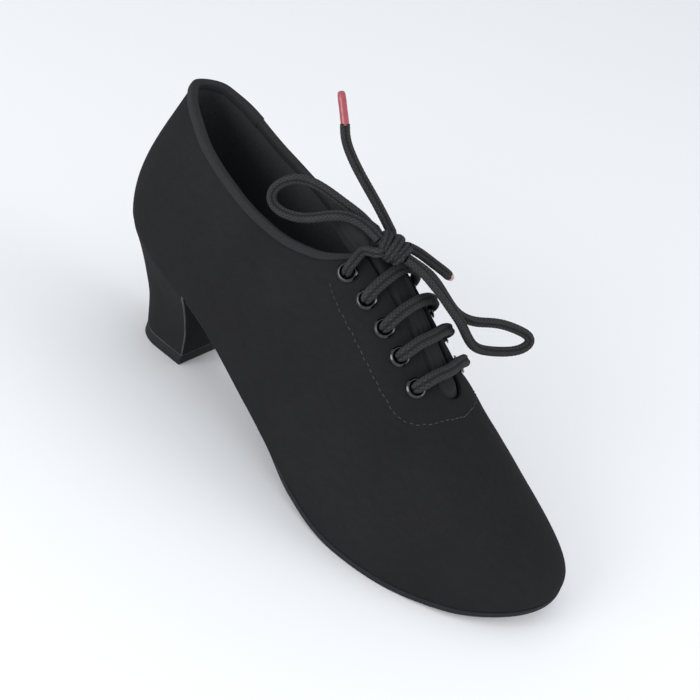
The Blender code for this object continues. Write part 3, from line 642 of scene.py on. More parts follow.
def eased(stops, passes=5, share=0.25):
    """Close stops along a cord's route, eased until it bends as a springy lace does."""
    route = smooth_route(stops, ROUTE_STEP)
    for _ in range(passes):
        route[1:-1] += share * (route[:-2] - 2 * route[1:-1] + route[2:])
    return route


def add_lace(name, stops, flattened=1.0):
    return add_piece(f"{name}_braid", braid_net(stops, flattened=flattened), [braid], [name])


BOW = {name: eased(stops) for name, stops in BOW_STOPS.items()}
cords = {name: add_lace(name, stops) for name, stops in BOW.items()}
tags = {name: add_piece(f"{tag}_tag", aglet_net(BOW[name]), [aglet], [tag])
        for name, tag in TAGS.items()}
for name, stops in BOW.items():
    path = in_frame(smooth_route(stops, ROUTE_STEP))
    held = {"far_end": "fitting", "with_pieces": [tags[name]]} if name in tags else {"far_end": "object"}
    "stiff" if name == "lace_end_back" else "medium"

# %% [markdown]
# ## The knot
# In a bow the lace runs through the middle of the knot and is wrapped round the outside. Three short turns
# lie side by side across the bow's line, and the strands inside them lead to the loops and the ends.

# %% Knot
KNOT = np.array((124.0, -4.0, 102.3))
KNOT_UP = unit((0.40, 0.0, 0.92))
STRANDS = (("lace_loop_lat", "lace_loop_med", 0, 0.0, 0.3), ("lace_end_back", "lace_end_med", 0, 1.2, 0.0),
           ("lace_loop_lat", "lace_loop_med", -1, -1.6, 1.0))
WRAPS = ((-4.3, 3.8, 2.8, 0.6), (0.2, 4.6, 3.3, -0.12), (4.2, 3.7, 2.7, -0.55))
WRAP_CENTRE, WRAP_ANGLES, WRAP_MIDDLE = (-0.6, 0.5), np.linspace(-2.2, 4.6, 15), 1.2
bow_line = unit(np.array(BOW["lace_loop_med"][0]) - BOW["lace_loop_lat"][0])
bow_across = unit(np.cross(KNOT_UP, bow_line))
bow_up = np.cross(bow_line, bow_across)


def in_knot(across, rise):
    return KNOT + across * bow_across + rise * bow_up


def wrap(shift, wide, high, lean):
    """One turn of lace round the strands, leaning along the bow's line."""
    stops = []
    for angle in WRAP_ANGLES:
        side_step = math.cos(angle) * wide * bow_across + math.sin(angle) * high * bow_up
        stops.append(in_knot(*WRAP_CENTRE) + side_step + bow_line * (shift + lean * (angle - WRAP_MIDDLE)))
    return braid_net(stops)


strands = [braid_net((BOW[first][stop], in_knot(across, rise), BOW[second][stop]))
           for first, second, stop, across, rise in STRANDS]
knot_net = joined(*strands, *(wrap(*turn) for turn in WRAPS))
add_piece("lace_knot_turns", knot_net, [braid], ["lace_knot"])
print("faces in the knot:", len(knot_net[1]))

# %% [markdown]
# ## Bars of the lace
# Below the bow the lace crosses straight over the tongue, from eyelet to eyelet. Pulled tight over the edges
# of the facings, the hollow braid flattens and pinches along its middle, and looks almost double.

# %% Bars and runs
EYELETS, EYELET_FIRST, EYELET_PITCH, EYELET_INSET = 5, 116.0, 11.6, 15.0
BINDING_THICKNESS, TONGUE_CROWN, RIDGE_CLIMB = 0.5, 0.4, 0.992
SIDES = ((LATERAL, "lat"), (MEDIAL, "med"))
LACE_RISE = ((0.0, -1.4), (0.0, 0.5), (0.04, 2.4), (0.35, LACE / 2 + 2.1))
OVER_FACING, OVER_TAPE, OVER_TONGUE = 0.7, 2 * GAP + BINDING_THICKNESS + 0.9, 0.5
RUN_STOPS = ((-1.5, 8.0, -0.4), (-0.6, 2.5, 0.0))


def eyelet_row(number):
    return row_at(EYELET_FIRST + number * EYELET_PITCH)


def eyelet_place(side, number):
    """Centre on the outer face and outward direction of an eyelet, counted from the top."""
    place = place_of(side, eyelet_row(number))
    climb = facing_climb(place, EYELET_INSET)
    return last_skin(place, climb), skin_normal(place, climb)


def lace_out_of(side, number, clear):
    """Stops of the lace: up through an eyelet's bore and clear over the edge of its facing."""
    centre, normal = eyelet_place(side, number)
    place = place_of(side, eyelet_row(number))
    edge = facing_climb(place)
    rim, rim_normal = last_skin(place, edge), skin_normal(place, edge)
    stops = [centre + share * (rim - centre) + height * normal for share, height in LACE_RISE]
    return stops + [rim + (LACE / 2 + clear) * rim_normal]


for number in range(1, EYELETS):
    row = eyelet_row(number)
    lift = skin_normal(row, RIDGE_CLIMB)
    middle = last_skin(row, RIDGE_CLIMB) + lift * (LACE / 2 + OVER_TONGUE - TONGUE_CROWN)
    middle[1] = 0
    outer, inner = (lace_out_of(side, number, OVER_FACING) for side in (LATERAL, MEDIAL))
    add_lace(f"lace_bar_{number + 1}", outer + [middle] + inner[::-1], FLATTENED)
for side, name in SIDES:
    to_knot = [KNOT + (x, side * y, z) for x, y, z in RUN_STOPS]
    add_lace(f"lace_run_{name}", lace_out_of(side, 0, OVER_TAPE) + to_knot)
print("bars of lace:", EYELETS - 1)

# %% [markdown]
# ## The upper's cloth
# The upper is a light, brushed black cloth over a stiff lining. The cloth swallows light: its nap is fine and
# matt, with soft clouds where it was brushed. The lining inside is a little paler, and woven.

# %% Finishes of the upper
cloth = Finish("upper_cloth", (0.019, 0.019, 0.0205), 1.0, Specular_IOR_Level=0.06)
nap, brushed, cloud = cloth.noise(0.45), cloth.noise(2.2, 3.0, (0.5, 1.0, 1.0)), cloth.noise(38.0)
cloth.shade(nap * 0.35 + brushed * 0.3 + cloud * 0.45, (0.0075, 0.0075, 0.0083), (0.0212, 0.0212, 0.0231))
cloth.relief(nap + brushed * 0.7, 0.09, 0.6)
lining = Finish("shoe_lining", (0.011, 0.011, 0.0125), 0.9, Specular_IOR_Level=0.15)
lining.mottle((0.031, 0.0315, 0.0345), (0.067, 0.0677, 0.073), lining.noise(0.5, 1.0, (1.0, 1.0, 0.4)),
              relief=(0.06, 0.5))
print("finishes of the upper:", cloth.material.name, lining.material.name)

# %% [markdown]
# ## The upper's wall
# Cloth and lining are pulled over the last and glued under the sole, so the outer and inner faces are one
# closed wall. The cloth is nearly smooth when new. Its few soft marks are placed one by one: the pull of the
# stitched eyelet panel and of the eyelets, faint flex lines over the ball, and a seam at the back.

# %% Wall of the upper
PANEL_LINE = np.array((
    (4.0, 16.2), (4.2, 18.9), (4.5, 21.1), (4.85, 22.3), (5.27, 23.8), (5.6, 24.7), (5.8, 24.8), (6.0, 24.2),
    (6.36, 21.9), (6.86, 17.7), (7.49, 14.3), (8.4, 13.2), (10.0, 12.9))).T
PANEL_ROWS = np.concatenate([np.linspace(4.27, 6.0, 40), np.linspace(6.05, 10.0, 60)])
FLEX_LINES = (
    ((176, -36, 20), (182, -20, 42), (188, 2, 46), (186, 24, 36), 4.5, 0.30),
    ((165, -37, 22), (170, -24, 46), (174, 24, 44), (168, 34, 26), 5.0, 0.22),
)
PANEL_DENT, EYELET_DENT, SEAM_DENT, SEAM_SPREAD = (1.1, 0.28), (5.5, 0.18), (0.9, 0.25), 17.0
BACK_STATIONS, FRONT_STATIONS, FLEX_STEP, MARKS_BEGIN, EDGE_ROLL = 84, 96, 1.5, 0.1, 0.35
UP_SHARES = np.concatenate([np.linspace(0, 0.06, 4), np.linspace(0.1, 0.97, 40), [0.985, 1.0]])
DOWN_SHARES = np.array([1.0, 0.97, 0.9, 0.78, 0.64, 0.5, 0.36, 0.22, 0.1, 0.0])
ROLL_ANGLES = np.linspace(0, math.pi, 7)[1:-1]


def panel_place(side, row):
    """Round and climb of the eyelet panel's stitched line."""
    place = place_of(side, row)
    return place, facing_climb(place, float(smooth_table(*PANEL_LINE, row)))


def nearest(points, line):
    """Distance of each point from a line of closely set points."""
    return np.min(np.linalg.norm(points[:, None, :] - line[None, :, :], axis=2), axis=1)


def dent(distance, width, depth):
    return depth * np.exp(-(distance / width)**2)


panel_lines = {side: np.array([last_skin(*panel_place(side, row)) for row in PANEL_ROWS])
               for side in (LATERAL, MEDIAL)}
eyelet_places = [eyelet_place(side, number) for side, name in SIDES for number in range(EYELETS)]
eyelet_centres = np.array([centre for centre, lift in eyelet_places])
flex_lines = [(smooth_route(stops, FLEX_STEP), width, depth) for *stops, width, depth in FLEX_LINES]


def marks(points, around):
    """How far the cloth stands out from the last at the points of one station."""
    side = LATERAL if np.mod(around, TURN) <= LAST_ROW else MEDIAL
    height = -dent(nearest(points, panel_lines[side]), *PANEL_DENT)
    height -= dent(nearest(points, eyelet_centres), *EYELET_DENT)
    for line, width, depth in flex_lines:
        height -= dent(nearest(points, line), width, depth)
    return height - dent(min(around, TURN - around) * SEAM_SPREAD, *SEAM_DENT)


outer_stations = np.concatenate([np.linspace(0, CORNER_ROW, BACK_STATIONS)[:-1],
                                 np.linspace(CORNER_ROW, LAST_ROW, FRONT_STATIONS)])
rings = []
for around in np.concatenate([outer_stations, TURN - outer_stations[-2:0:-1]]):
    edge = edge_climb(around)
    climbs, falls = UP_SHARES * edge, DOWN_SHARES * edge
    outer = last_skin(around, climbs)
    lifts = marks(outer, around) * np.minimum(1, UP_SHARES / MARKS_BEGIN)
    outer += skin_normal(around, climbs) * lifts[:, None]
    inner = last_skin(around, falls) - WALL * skin_normal(around, falls)
    inner[-1, 2] = outer[0, 2]
    rise = EDGE_ROLL * unit(outer[-1] - outer[-2])
    middle, half = (outer[-1] + inner[0]) / 2, (outer[-1] - inner[0]) / 2
    roll = [middle + math.cos(angle) * half + math.sin(angle) * rise for angle in ROLL_ANGLES]
    rings.append(np.vstack([outer, roll, inner]))
size, first_inner = len(rings[0]), len(UP_SHARES) + len(ROLL_ANGLES)
wall_net = (np.vstack(rings), *net_faces(len(rings), size, True))
kinds = [1 if first_inner <= i % size < size - 1 else 0 for i in range(len(wall_net[1]))]
upper = add_piece("upper_wall", wall_net, [cloth, lining], ["upper"], kinds)
print("faces in the upper:", len(kinds))

# %% [markdown]
# ## Punched holes
# The eyelet holes are punched through cloth and lining together. A row of round punches cuts them here too,
# and the cut mesh then takes the place of the whole one.

# %% Holes for the eyelets
EYELET_BORE, EYELET_FLANGE, EYELET_METAL, EYELET_SEAT = 5.2, 8.0, 0.5, 0.6
PUNCH_TOP, PUNCH_FOOT, PUNCH_SIDES = 4, -5, 28


def turned_net(profile, centre, axis, sides):
    """A ring turned about an axis from a closed profile of (radius, height) pairs."""
    points = [centre + radius * spoke + height * axis for spoke in spokes_round(axis, sides)
              for radius, height in profile]
    return (np.array(points), *net_faces(sides, len(profile), True))


def baked(item):
    """The mesh of an object after its modifiers."""
    item_now = item.evaluated_get(bpy.context.evaluated_depsgraph_get())
    return bpy.data.meshes.new_from_object(item_now)


def bare_object(name, net):
    """A working object that isn't a piece of the shoe."""
    mesh = bpy.data.meshes.new(name)
    mesh.from_pydata(in_frame(net[0]).tolist(), [], net[1])
    weld(mesh, True)
    return show(name, mesh)


hole = EYELET_BORE / 2 + EYELET_METAL + GAP
plug_profile = ((0, PUNCH_TOP), (hole, PUNCH_TOP), (hole, PUNCH_FOOT), (0, PUNCH_FOOT))
punches = [turned_net(plug_profile, centre, lift, PUNCH_SIDES) for centre, lift in eyelet_places]
punch = bare_object("punch", joined(*punches))
cut = upper.modifiers.new("punch", "BOOLEAN")
cut.operation = "DIFFERENCE"
cut.solver = "EXACT"
cut.object = punch
cut_mesh = baked(upper)
upper.modifiers.clear()
upper.data = cut_mesh
bpy.data.objects.remove(punch, do_unlink=True)
print("faces with holes:", len(upper.data.polygons))

# %% [markdown]
# ## Things that repeat
# Eyelets and stitches repeat, so one of each is made and a node tree sets it out. Points carry a direction
# called lift, which is the way out of the cloth. For stitches the points come from a line, spaced by the
# pitch of the sewing machine, and each stitch turns along the line.

# %% Node trees for eyelets and stitches
SMALL_SMOOTH_UP_TO = math.radians(60)


def set_out_tree(name, sewn):
    """Sets an object out on points, along their lift; sewn spaces the points along a line first."""
    tree = bpy.data.node_groups.new(name, "GeometryNodeTree")
    sockets = {"Geometry": "Geometry", "Shape": "Object", "Finish": "Material"}
    if sewn:
        sockets["Pitch"] = "Float"
    for label, kind in sockets.items():
        tree.interface.new_socket(name=label, in_out="INPUT", socket_type="NodeSocket" + kind)
    tree.interface.new_socket(name="Geometry", in_out="OUTPUT", socket_type="NodeSocketGeometry")
    given = tree.nodes.new("NodeGroupInput")

    def add(kind, output, settings=(), **inputs):
        """A node with its settings and links; gives one of its outputs."""
        node = tree.nodes.new(kind)
        for key, value in settings:
            setattr(node, key, value)
        for key, socket in inputs.items():
            tree.links.new(socket, node.inputs[key])
        return node.outputs[output]

    lift = add("GeometryNodeInputNamedAttribute", "Attribute", [("data_type", "FLOAT_VECTOR")])
    lift.node.inputs["Name"].default_value = "lift"
    turn = add("FunctionNodeAlignRotationToVector", "Rotation", [("axis", "Z")], Vector=lift)
    points = given.outputs["Geometry"]
    if sewn:
        line = add("GeometryNodeMeshToCurve", "Curve", Mesh=points)
        points = add("GeometryNodeResampleCurve", "Curve", [("mode", "LENGTH")], Curve=line,
                     Length=given.outputs["Pitch"])
        tangent = add("GeometryNodeInputTangent", "Tangent")
        turn = add("FunctionNodeAlignRotationToVector", "Rotation", [("axis", "X"), ("pivot_axis", "Z")],
                   Rotation=turn, Vector=tangent)
    shape = add("GeometryNodeObjectInfo", "Geometry", Object=given.outputs["Shape"])
    copies = add("GeometryNodeInstanceOnPoints", "Instances", Points=points, Instance=shape, Rotation=turn)
    real = add("GeometryNodeRealizeInstances", "Geometry", Geometry=copies)
    dressed = add("GeometryNodeSetMaterial", "Geometry", Geometry=real, Material=given.outputs["Finish"])
    tree.links.new(dressed, tree.nodes.new("NodeGroupOutput").inputs["Geometry"])
    return tree


def set_out(name, tree, places, lifts, shape, finish, replaced=(), pitch=None):
    """Makes one piece from a shape set out on places, or by a pitch along the line through them."""
    mesh = bpy.data.meshes.new(f"{name}_points")
    edges = [(i, i + 1) for i in range(len(places) - 1)] if pitch else []
    mesh.from_pydata(in_frame(places).tolist(), edges, [])
    lift = mesh.attributes.new("lift", "FLOAT_VECTOR", "POINT")
    lift.data.foreach_set("vector", np.asarray(lifts, float).ravel())
    base = show(f"{name}_points", mesh)
    values = {"Shape": shape, "Finish": finish.material, "Pitch": pitch}
    modifier = base.modifiers.new("set_out", "NODES")
    modifier.node_group = tree
    for item in tree.interface.items_tree:
        if item.in_out == "INPUT" and item.name in values:
            modifier[item.identifier] = values[item.name]
    piece = show(name, baked(base))
    for used in (base, shape):
        bpy.data.objects.remove(used, do_unlink=True)
    piece.data.shade_smooth()
    piece.data.set_sharp_from_angle(angle=SMALL_SMOOTH_UP_TO)
    return dress(piece, replaced)


on_points = set_out_tree("set_out_on_points", False)
on_lines = set_out_tree("set_out_on_lines", True)
print("trees:", on_points.name, on_lines.name)

# %% [markdown]
# ## Eyelets
# An eyelet is a little brass tube with a rolled flange, plated dark. It is turned from one profile. The
# flange stands a little proud of the cloth, and glints only where it faces the light.

# %% Ten eyelets
FLANGE_RISE, EYELET_SIDES = 0.7, 40
eyelet_metal = Finish("eyelet_metal", (0.05, 0.05, 0.051), 0.24, Metallic=1.0)
plating = eyelet_metal.mottle((0.022, 0.022, 0.023), (0.095, 0.095, 0.097), eyelet_metal.noise(0.9))
eyelet_metal.feed("Roughness", plating * 0.14 + 0.09)
bore, barrel, flange = EYELET_BORE / 2, EYELET_BORE / 2 + EYELET_METAL, EYELET_FLANGE / 2
low, high = EYELET_SEAT, EYELET_SEAT + FLANGE_RISE
rolled = [(bore, -WALL), (bore, high - 0.45), (bore + 0.1, high - 0.18), (bore + 0.35, high),
          (bore + 0.75, high + 0.02), (flange - 0.55, high - 0.08), (flange - 0.2, high - 0.3),
          (flange, low + 0.15), (flange - 0.1, low), (barrel, low), (barrel, -WALL)]
one_eyelet = bare_object("one_eyelet", turned_net(rolled, np.array(MIDDLE_OF_SHOE), np.array((0, 0, 1.0)),
                                                  EYELET_SIDES))
eyelet_nodes = [f"eyelet_{name}_{number + 1}" for side, name in SIDES for number in range(EYELETS)]
eyelets = set_out("eyelets", on_points, eyelet_centres, [lift for centre, lift in eyelet_places], one_eyelet,
                  eyelet_metal, eyelet_nodes)
print("eyelet faces:", len(eyelets.data.polygons))

# %% [markdown]
# ## Stitches
# A row of grey thread runs round the eyelet panel: down from a little below the collar, under the lowest
# eyelet and up the other side. Each stitch is a small bead of thread, sunk by half in the cloth, and the row
# sways a little from side to side.

# %% Thread of the eyelet panel
STITCH, STITCH_PITCH, THREAD, STITCH_SIDES = 1.6, 2.6, 0.5, 8
SWAY, SWAY_TURNS, SEWN_DEPTH, STITCH_DIP = 0.16, (2.3, 1.37), 0.1, 0.1
STITCH_PROFILE = ((-1.0, 0.0), (-0.92, 0.45), (-0.7, 0.8), (-0.35, 0.95), (0.0, 1.0), (0.35, 0.95),
                  (0.7, 0.8), (0.92, 0.45), (1.0, 0.0))
thread = Finish("thread", (0.05, 0.05, 0.053), 0.9, Specular_IOR_Level=0.2)
thread.mottle((0.008, 0.008, 0.0086), (0.076, 0.076, 0.079), thread.noise(0.5), thread.noise(6.0), 0.4)


def one_stitch():
    """A short bead of thread, lying along x and dipping at its ends."""
    rings = []
    for far, wide in STITCH_PROFILE:
        x = far * STITCH / 2
        centre = np.add(MIDDLE_OF_SHOE, (x, 0.0, -STITCH_DIP * abs(x)))
        rings.append(centre + spokes_round((1.0, 0.0, 0.0), STITCH_SIDES) * (wide * THREAD / 2))
    return bare_object("one_stitch", (np.vstack(rings), *net_faces(len(rings), STITCH_SIDES, False)))


panel_line = np.vstack([panel_lines[LATERAL], panel_lines[MEDIAL][-2::-1]])
panel_stops = [(LATERAL, row) for row in PANEL_ROWS] + [(MEDIAL, row) for row in PANEL_ROWS[-2::-1]]
panel_lift = np.array([skin_normal(*panel_place(side, row)) for side, row in panel_stops])
sideways = unit(np.cross(np.gradient(panel_line, axis=0), panel_lift))
sway = sum(np.sin(np.arange(len(panel_line)) * turn) for turn in SWAY_TURNS)
sewn_line = panel_line - SEWN_DEPTH * panel_lift + SWAY * sway[:, None] * sideways
stitches = set_out("panel_stitches", on_lines, sewn_line, panel_lift, one_stitch(), thread,
                   pitch=STITCH_PITCH * MILLIMETRE)
print("stitch faces:", len(stitches.data.polygons))

# %% [markdown]
# ## The collar's tape
# A soft ribbed tape is folded over the collar's raw edge and sewn down. It is a little lighter than the cloth
# and swells between its edges. The fold is drawn as a closed strip that follows the collar round the back,
# with a small step on the inner side where the tape's ends lap.

# %% Collar binding
BINDING_WIDTH, BINDING_END, RIB, TAPE_RISE, TAPE_REACH = 2.8, 2.2, 0.8, 1.1, 0.55
TAPE_LAP = np.array(((-1.86, 0.0), (-1.85, 0.9), (-1.6, 0.55), (-1.25, 0.0))).T
TAPE_DOWN = np.array([1.0, 0.985, 0.93, 0.82, 0.66, 0.48, 0.3, 0.14, 0.0])
TAPE_SWELL = np.array([0.15, 0.62, 0.95, 1.12, 1.2, 1.2, 1.15, 1.06, 1.0])
TAPE_STATIONS, TAPE_INSET, TAPE_FOLD = 100, 0.02, np.linspace(0, math.pi, 9)[1:-1]
TAPE_NARROWS = (CORNER_ROW - 0.35, CORNER_ROW - 0.1)
tape = Finish("binding_tape", (0.030, 0.031, 0.033), 0.95, Specular_IOR_Level=0.12)
rib = (tape.net()[0] * (math.tau / RIB)).sine() * 0.5 + 0.5
tape_fuzz = tape.noise(0.6)
# The colour is lighter on the ribs and darker between them, as painted shade in the troughs, mixed with
# random fuzz.
tape.shade(rib * 0.35 + tape_fuzz * 0.65, (0.0118, 0.0122, 0.0132), (0.0345, 0.0355, 0.038))
tape.relief(rib * 0.5 + tape_fuzz, 0.1, 0.6)

near = np.linspace(CORNER_ROW, 0, TAPE_STATIONS)
near[0] -= TAPE_INSET
rings, edge_line = [], []
for around in np.sort(np.concatenate([near, -near[-2::-1], TAPE_LAP[0, :2]]))[::-1]:
    edge = edge_climb(around)
    climbs = np.linspace(edge, edge * TAPE_REACH, 60)
    line = last_skin(around, climbs)
    width = np.interp(abs(around), TAPE_NARROWS, (BINDING_WIDTH, BINDING_END))
    climb_at = np.interp(TAPE_DOWN * width, lengths_along(line), climbs)
    skin, normal = last_skin(around, climb_at), skin_normal(around, climb_at)
    over_edge = unit(line[0] - line[1])
    thick = BINDING_THICKNESS * (1 + np.interp(around, *TAPE_LAP))
    leg = GAP + thick * TAPE_SWELL[:, None]
    across = normal[-1] * (WALL / 2 + GAP + thick)
    rise = over_edge * (GAP + thick) * TAPE_RISE
    wall_middle = skin[-1] - normal[-1] * WALL / 2
    fold = [wall_middle + across * math.cos(angle) + rise * math.sin(angle) for angle in TAPE_FOLD]
    outside = np.vstack([skin + normal * leg, fold, (skin - normal * (WALL + leg))[::-1]])
    to_edge = over_edge * GAP * (TAPE_DOWN[:, None] == 0)
    within = np.vstack([skin - normal * (WALL + GAP) + to_edge, (skin + normal * GAP + to_edge)[::-1]])
    rings.append(np.vstack([outside, within]))
    edge_line.append(skin[-1])
along = lengths_along(edge_line)
tape_net = capped(rings, np.append(along, along[-1]))
add_piece("collar_tape", tape_net, [tape], ["collar_binding"])
print("tape length, mm:", round(along[-1]))

# %% [markdown]
# ## The tongue
# The tongue is a soft satin-faced sheet under the facings. Between the lower bars it gathers into a few
# lengthwise folds, because the facings push it together; near the top it lies smooth.

# %% Tongue
TONGUE_THICKNESS, TONGUE_HALF_WIDTH, TONGUE_TOP_HALF_WIDTH, TONGUE_OVERHANG = 1.6, 18.0, 11.5, 17.5
TONGUE_DEPTH, TONGUE_TOP_DEPTH, TONGUE_VAMP_HALF_WIDTH, FAN_ROW = 2.6, 3.3, 14.0, 6.0
TONGUE_SHOULDER = np.array(((-2.8, 0.0), (-1.0, 0.45), (0.5, 1.0))).T
TONGUE_TIP = np.array(((0.0, 1.0), (0.25, 1.0), (0.5, 0.93), (0.76, 0.74), (0.93, 0.48), (1.0, 0.25))).T
FOLD_DEPTH, FOLD_INSET, FOLD_TURN, FOLD_START = ((4.5, 4.9, 5.4), (0.0, 0.35, 0.6)), 3.5, 2.1, 0.4
THROAT_ROWS = np.linspace(CORNER_ROW - 0.15, 5.85, 46)
VAMP_PLACES = (166.5, 167.8, 169.0, 170.2, 171.2, 172.2, 174.0, 178.0)
HALF_COUNT, TIP_STEPS, TIP_FLATTENING = 18, 15, 0.6
satin = Finish("tongue_lining", (0.0075, 0.0078, 0.0084), 0.7, Specular_IOR_Level=0.12)
thread_way = satin.mottle((0.0085, 0.0088, 0.0095), (0.0185, 0.0192, 0.0205),
                          satin.noise(0.7, 1.0, (0.25, 1.0, 0.6)), relief=(0.06, 0.4))
satin.feed("Roughness", thread_way * 0.2 + 0.55)


def folds(row, past_edge):
    """Height of the lengthwise folds between the facings, which are deepest near the foot of the throat."""
    inside = np.clip(-past_edge / FOLD_INSET, 0, 1)
    return np.interp(row, *FOLD_DEPTH) * inside * (np.cos(past_edge * FOLD_TURN + FOLD_START) - 1) / 2


def tongue_sheet(row, places, climbs, past_edge, edge_depth):
    """One section of the tongue: its outer line and its inner line."""
    normal = skin_normal(places, climbs)
    depth = TONGUE_CROWN + (edge_depth - TONGUE_CROWN) * smooth_table(*TONGUE_SHOULDER, past_edge)
    outer = last_skin(places, climbs) - normal * (depth - folds(row, past_edge))[:, None]
    return outer, outer - normal * TONGUE_THICKNESS


def throat_sheet(row):
    """A section across the throat at one row, from the outer side over the ridge."""
    half_width = np.interp(row, (CORNER_ROW, CORNER_ROW + 0.6), (TONGUE_TOP_HALF_WIDTH, TONGUE_HALF_WIDTH))
    half_gap = throat_half_gap(section_value("ridge_along", row, LENGTH))
    shoulder_end, shoulder = half_gap + TONGUE_SHOULDER[0, [0, 2]]
    far = np.concatenate([np.linspace(half_width, shoulder, 5)[:-1],
                          np.linspace(shoulder, shoulder_end, 8)[:-1],
                          np.linspace(shoulder_end, 0, 8)[:-1]])
    places, climbs = [], []
    for side in (LATERAL, MEDIAL):
        place = place_of(side, row)
        places.append(np.full(HALF_COUNT, place))
        climbs.append(np.array([min(facing_climb(place, distance), RIDGE_CLIMB) for distance in far]))
    places = np.concatenate([places[0], [row], places[1][::-1]])
    climbs = np.concatenate([climbs[0], [RIDGE_CLIMB], climbs[1][::-1]])
    past_edge = np.concatenate([far, [0], far[::-1]]) - half_gap
    edge_depth = np.interp(row, (CORNER_ROW, CORNER_ROW + 0.35), (TONGUE_TOP_DEPTH, TONGUE_DEPTH))
    return tongue_sheet(row, places, climbs, past_edge, edge_depth)


def vamp_sheet(x):
    """A section ahead of the ridge's end, where the tongue goes under the vamp."""
    end = ridge_point(np.array([FAN_ROW]))[0]
    rows = np.linspace(FAN_ROW, TURN - FAN_ROW, 161)
    spokes = feather_outline(rows) - end[:2]
    angles = np.unwrap(np.arctan2(spokes[:, 1], spokes[:, 0]))
    half = np.linspace(1, 0, HALF_COUNT + 1)[:-1] * TONGUE_VAMP_HALF_WIDTH
    across = np.concatenate([-half, [0], half[::-1]])
    far = np.hypot(x - end[0], across)
    places = np.interp(np.arctan2(across, x - end[0]), angles, rows)
    climbs = np.array([facing_climb(place, distance) for place, distance in zip(places, far)])
    return tongue_sheet(FAN_ROW, places, climbs, far - THROAT_HALF_GAP, TONGUE_DEPTH)


sheets = [throat_sheet(row) for row in THROAT_ROWS]
middle = sheets[0][0][HALF_COUNT]
top = []
for back_share in np.linspace(1, 0, TIP_STEPS)[:-1]:
    scale = (1, float(smooth_table(*TONGUE_TIP, back_share)), 1 - TIP_FLATTENING * back_share)
    shift = (-TONGUE_OVERHANG * back_share, 0, 0)
    top.append([middle + (sheet - middle) * scale + shift for sheet in sheets[0]])
under_vamp = [vamp_sheet(x) for x in VAMP_PLACES]
rings = [np.vstack([outer, inner[::-1]]) for outer, inner in top + sheets + under_vamp]
size = len(rings[0])
faces, measures = net_faces(len(rings), size, False)
for start in (0, (len(rings) - 1) * size):
    for i in range(size // 2 - 1):
        corners = [start + k for k in (i, i + 1, size - 2 - i, size - 1 - i)]
        faces.append(corners if start else corners[::-1])
        measures.append([(0.0, 0.0)] * 4)
add_piece("tongue_sheet", (np.vstack(rings), faces, measures), [satin], ["tongue"])
print("tongue rows:", len(rings))

# %% [markdown]
# ## Sole and insole
# A dancer's sole is a single thin piece of chrome suede, so that the foot can feel the floor. Its edge is
# dyed dark and its underside stays grey and fuzzy. The insole inside is a thin cushion under black cloth.

# %% Sole and insole
SOLE_OVERHANG, WAIST_TUCK, BREAST, INSOLE_THICKNESS, INSOLE_TUCK = 0.4, 2.0, 58.0, 2.0, 0.2
SOLE_STEP = ((0.0, 118.0, 140.0, 240.0), (-WAIST_TUCK, -WAIST_TUCK, SOLE_OVERHANG, SOLE_OVERHANG))
SOLE_RIM = ((0.5, 0.0), (0.1, 0.12), (0.0, 0.3), (0.0, 0.75), (0.12, 0.93), (0.5, 1.0))
INSOLE_RIM = ((0.1, 0.0), (0.0, 0.4), (0.1, 0.8), (0.5, 1.0))
SOLE_SHARES, INSOLE_SHARES = np.linspace(1, 0.0, 150)[:-1]**1.25, np.linspace(0.995, 0.01, 140)**1.1
sole_rim = Finish("sole_rim", (0.016, 0.0175, 0.020), 0.8, Specular_IOR_Level=0.15)
sole_rim.mottle((0.010, 0.011, 0.013), (0.024, 0.026, 0.030), sole_rim.noise(1.2))
suede = Finish("sole_suede", (0.17, 0.18, 0.195), 0.97, Sheen_Weight=0.3)
suede.mottle((0.09, 0.095, 0.105), (0.27, 0.28, 0.30), suede.noise(0.7, 3.0), suede.noise(22.0), 0.6,
             (0.25, 0.8))
insole_cloth = Finish("insole_cloth", (0.014, 0.014, 0.0155), 0.95, Specular_IOR_Level=0.1)
insole_cloth.mottle((0.016, 0.016, 0.0178), (0.036, 0.036, 0.039), insole_cloth.noise(0.6),
                    relief=(0.08, 0.5))


def plate_net(rows, edge, bottom, thickness, rim, cut_x=None, across_count=9):
    """A plate under the foot: rings across it, with a rounded rim of (step in, height share) pairs."""
    rings = []
    for row, stand_out in zip(rows, edge):
        sides = []
        for place in (row, TURN - row):
            points = []
            for step, share in rim:
                x, y = outline_offset(np.array([place]), stand_out - step)[0]
                if cut_x is not None and row == rows[0]:
                    x = cut_x
                points.append((x, y, bottom(x) + thickness * share))
            sides.append(np.array(points))
        shares = np.linspace(0, 1, across_count + 2)[1:-1, None]
        over_top = sides[0][-1] + (sides[1][-1] - sides[0][-1]) * shares
        under = sides[1][0] + (sides[0][0] - sides[1][0]) * shares
        rings.append(np.vstack([sides[0], over_top, sides[1][::-1], under]))
    size = len(rings[0])
    under_faces = {0, *range(size - across_count - 2, size)}
    kinds = [1 if i % size in under_faces else 0 for i in range((len(rings) - 1) * size)]
    return capped(rings), kinds + [0, 0]


def row_along(x):
    """The row where the feather edge reaches a place along the last."""
    return float(np.interp(x, SECTIONS["along"] * LENGTH, np.arange(LAST_ROW + 1)))


rows = LAST_ROW - (LAST_ROW - row_along(BREAST + GAP)) * SOLE_SHARES
edge = smooth_table(*SOLE_STEP, section_value("along", rows, LENGTH))
sole_net, kinds = plate_net(rows, edge, underside, SOLE_THICKNESS, SOLE_RIM, BREAST + GAP)
add_piece("sole", sole_net, [sole_rim, suede], ["outsole"], kinds)
rows = LAST_ROW - LAST_ROW * INSOLE_SHARES
edge = np.full(len(rows), INSOLE_TUCK - WALL)
insole_net, kinds = plate_net(rows, edge, feather_height, INSOLE_THICKNESS, INSOLE_RIM)
add_piece("inner_sole", insole_net, [insole_cloth, insole_cloth], ["insole"], kinds)
print("sole faces:", len(sole_net[1]))
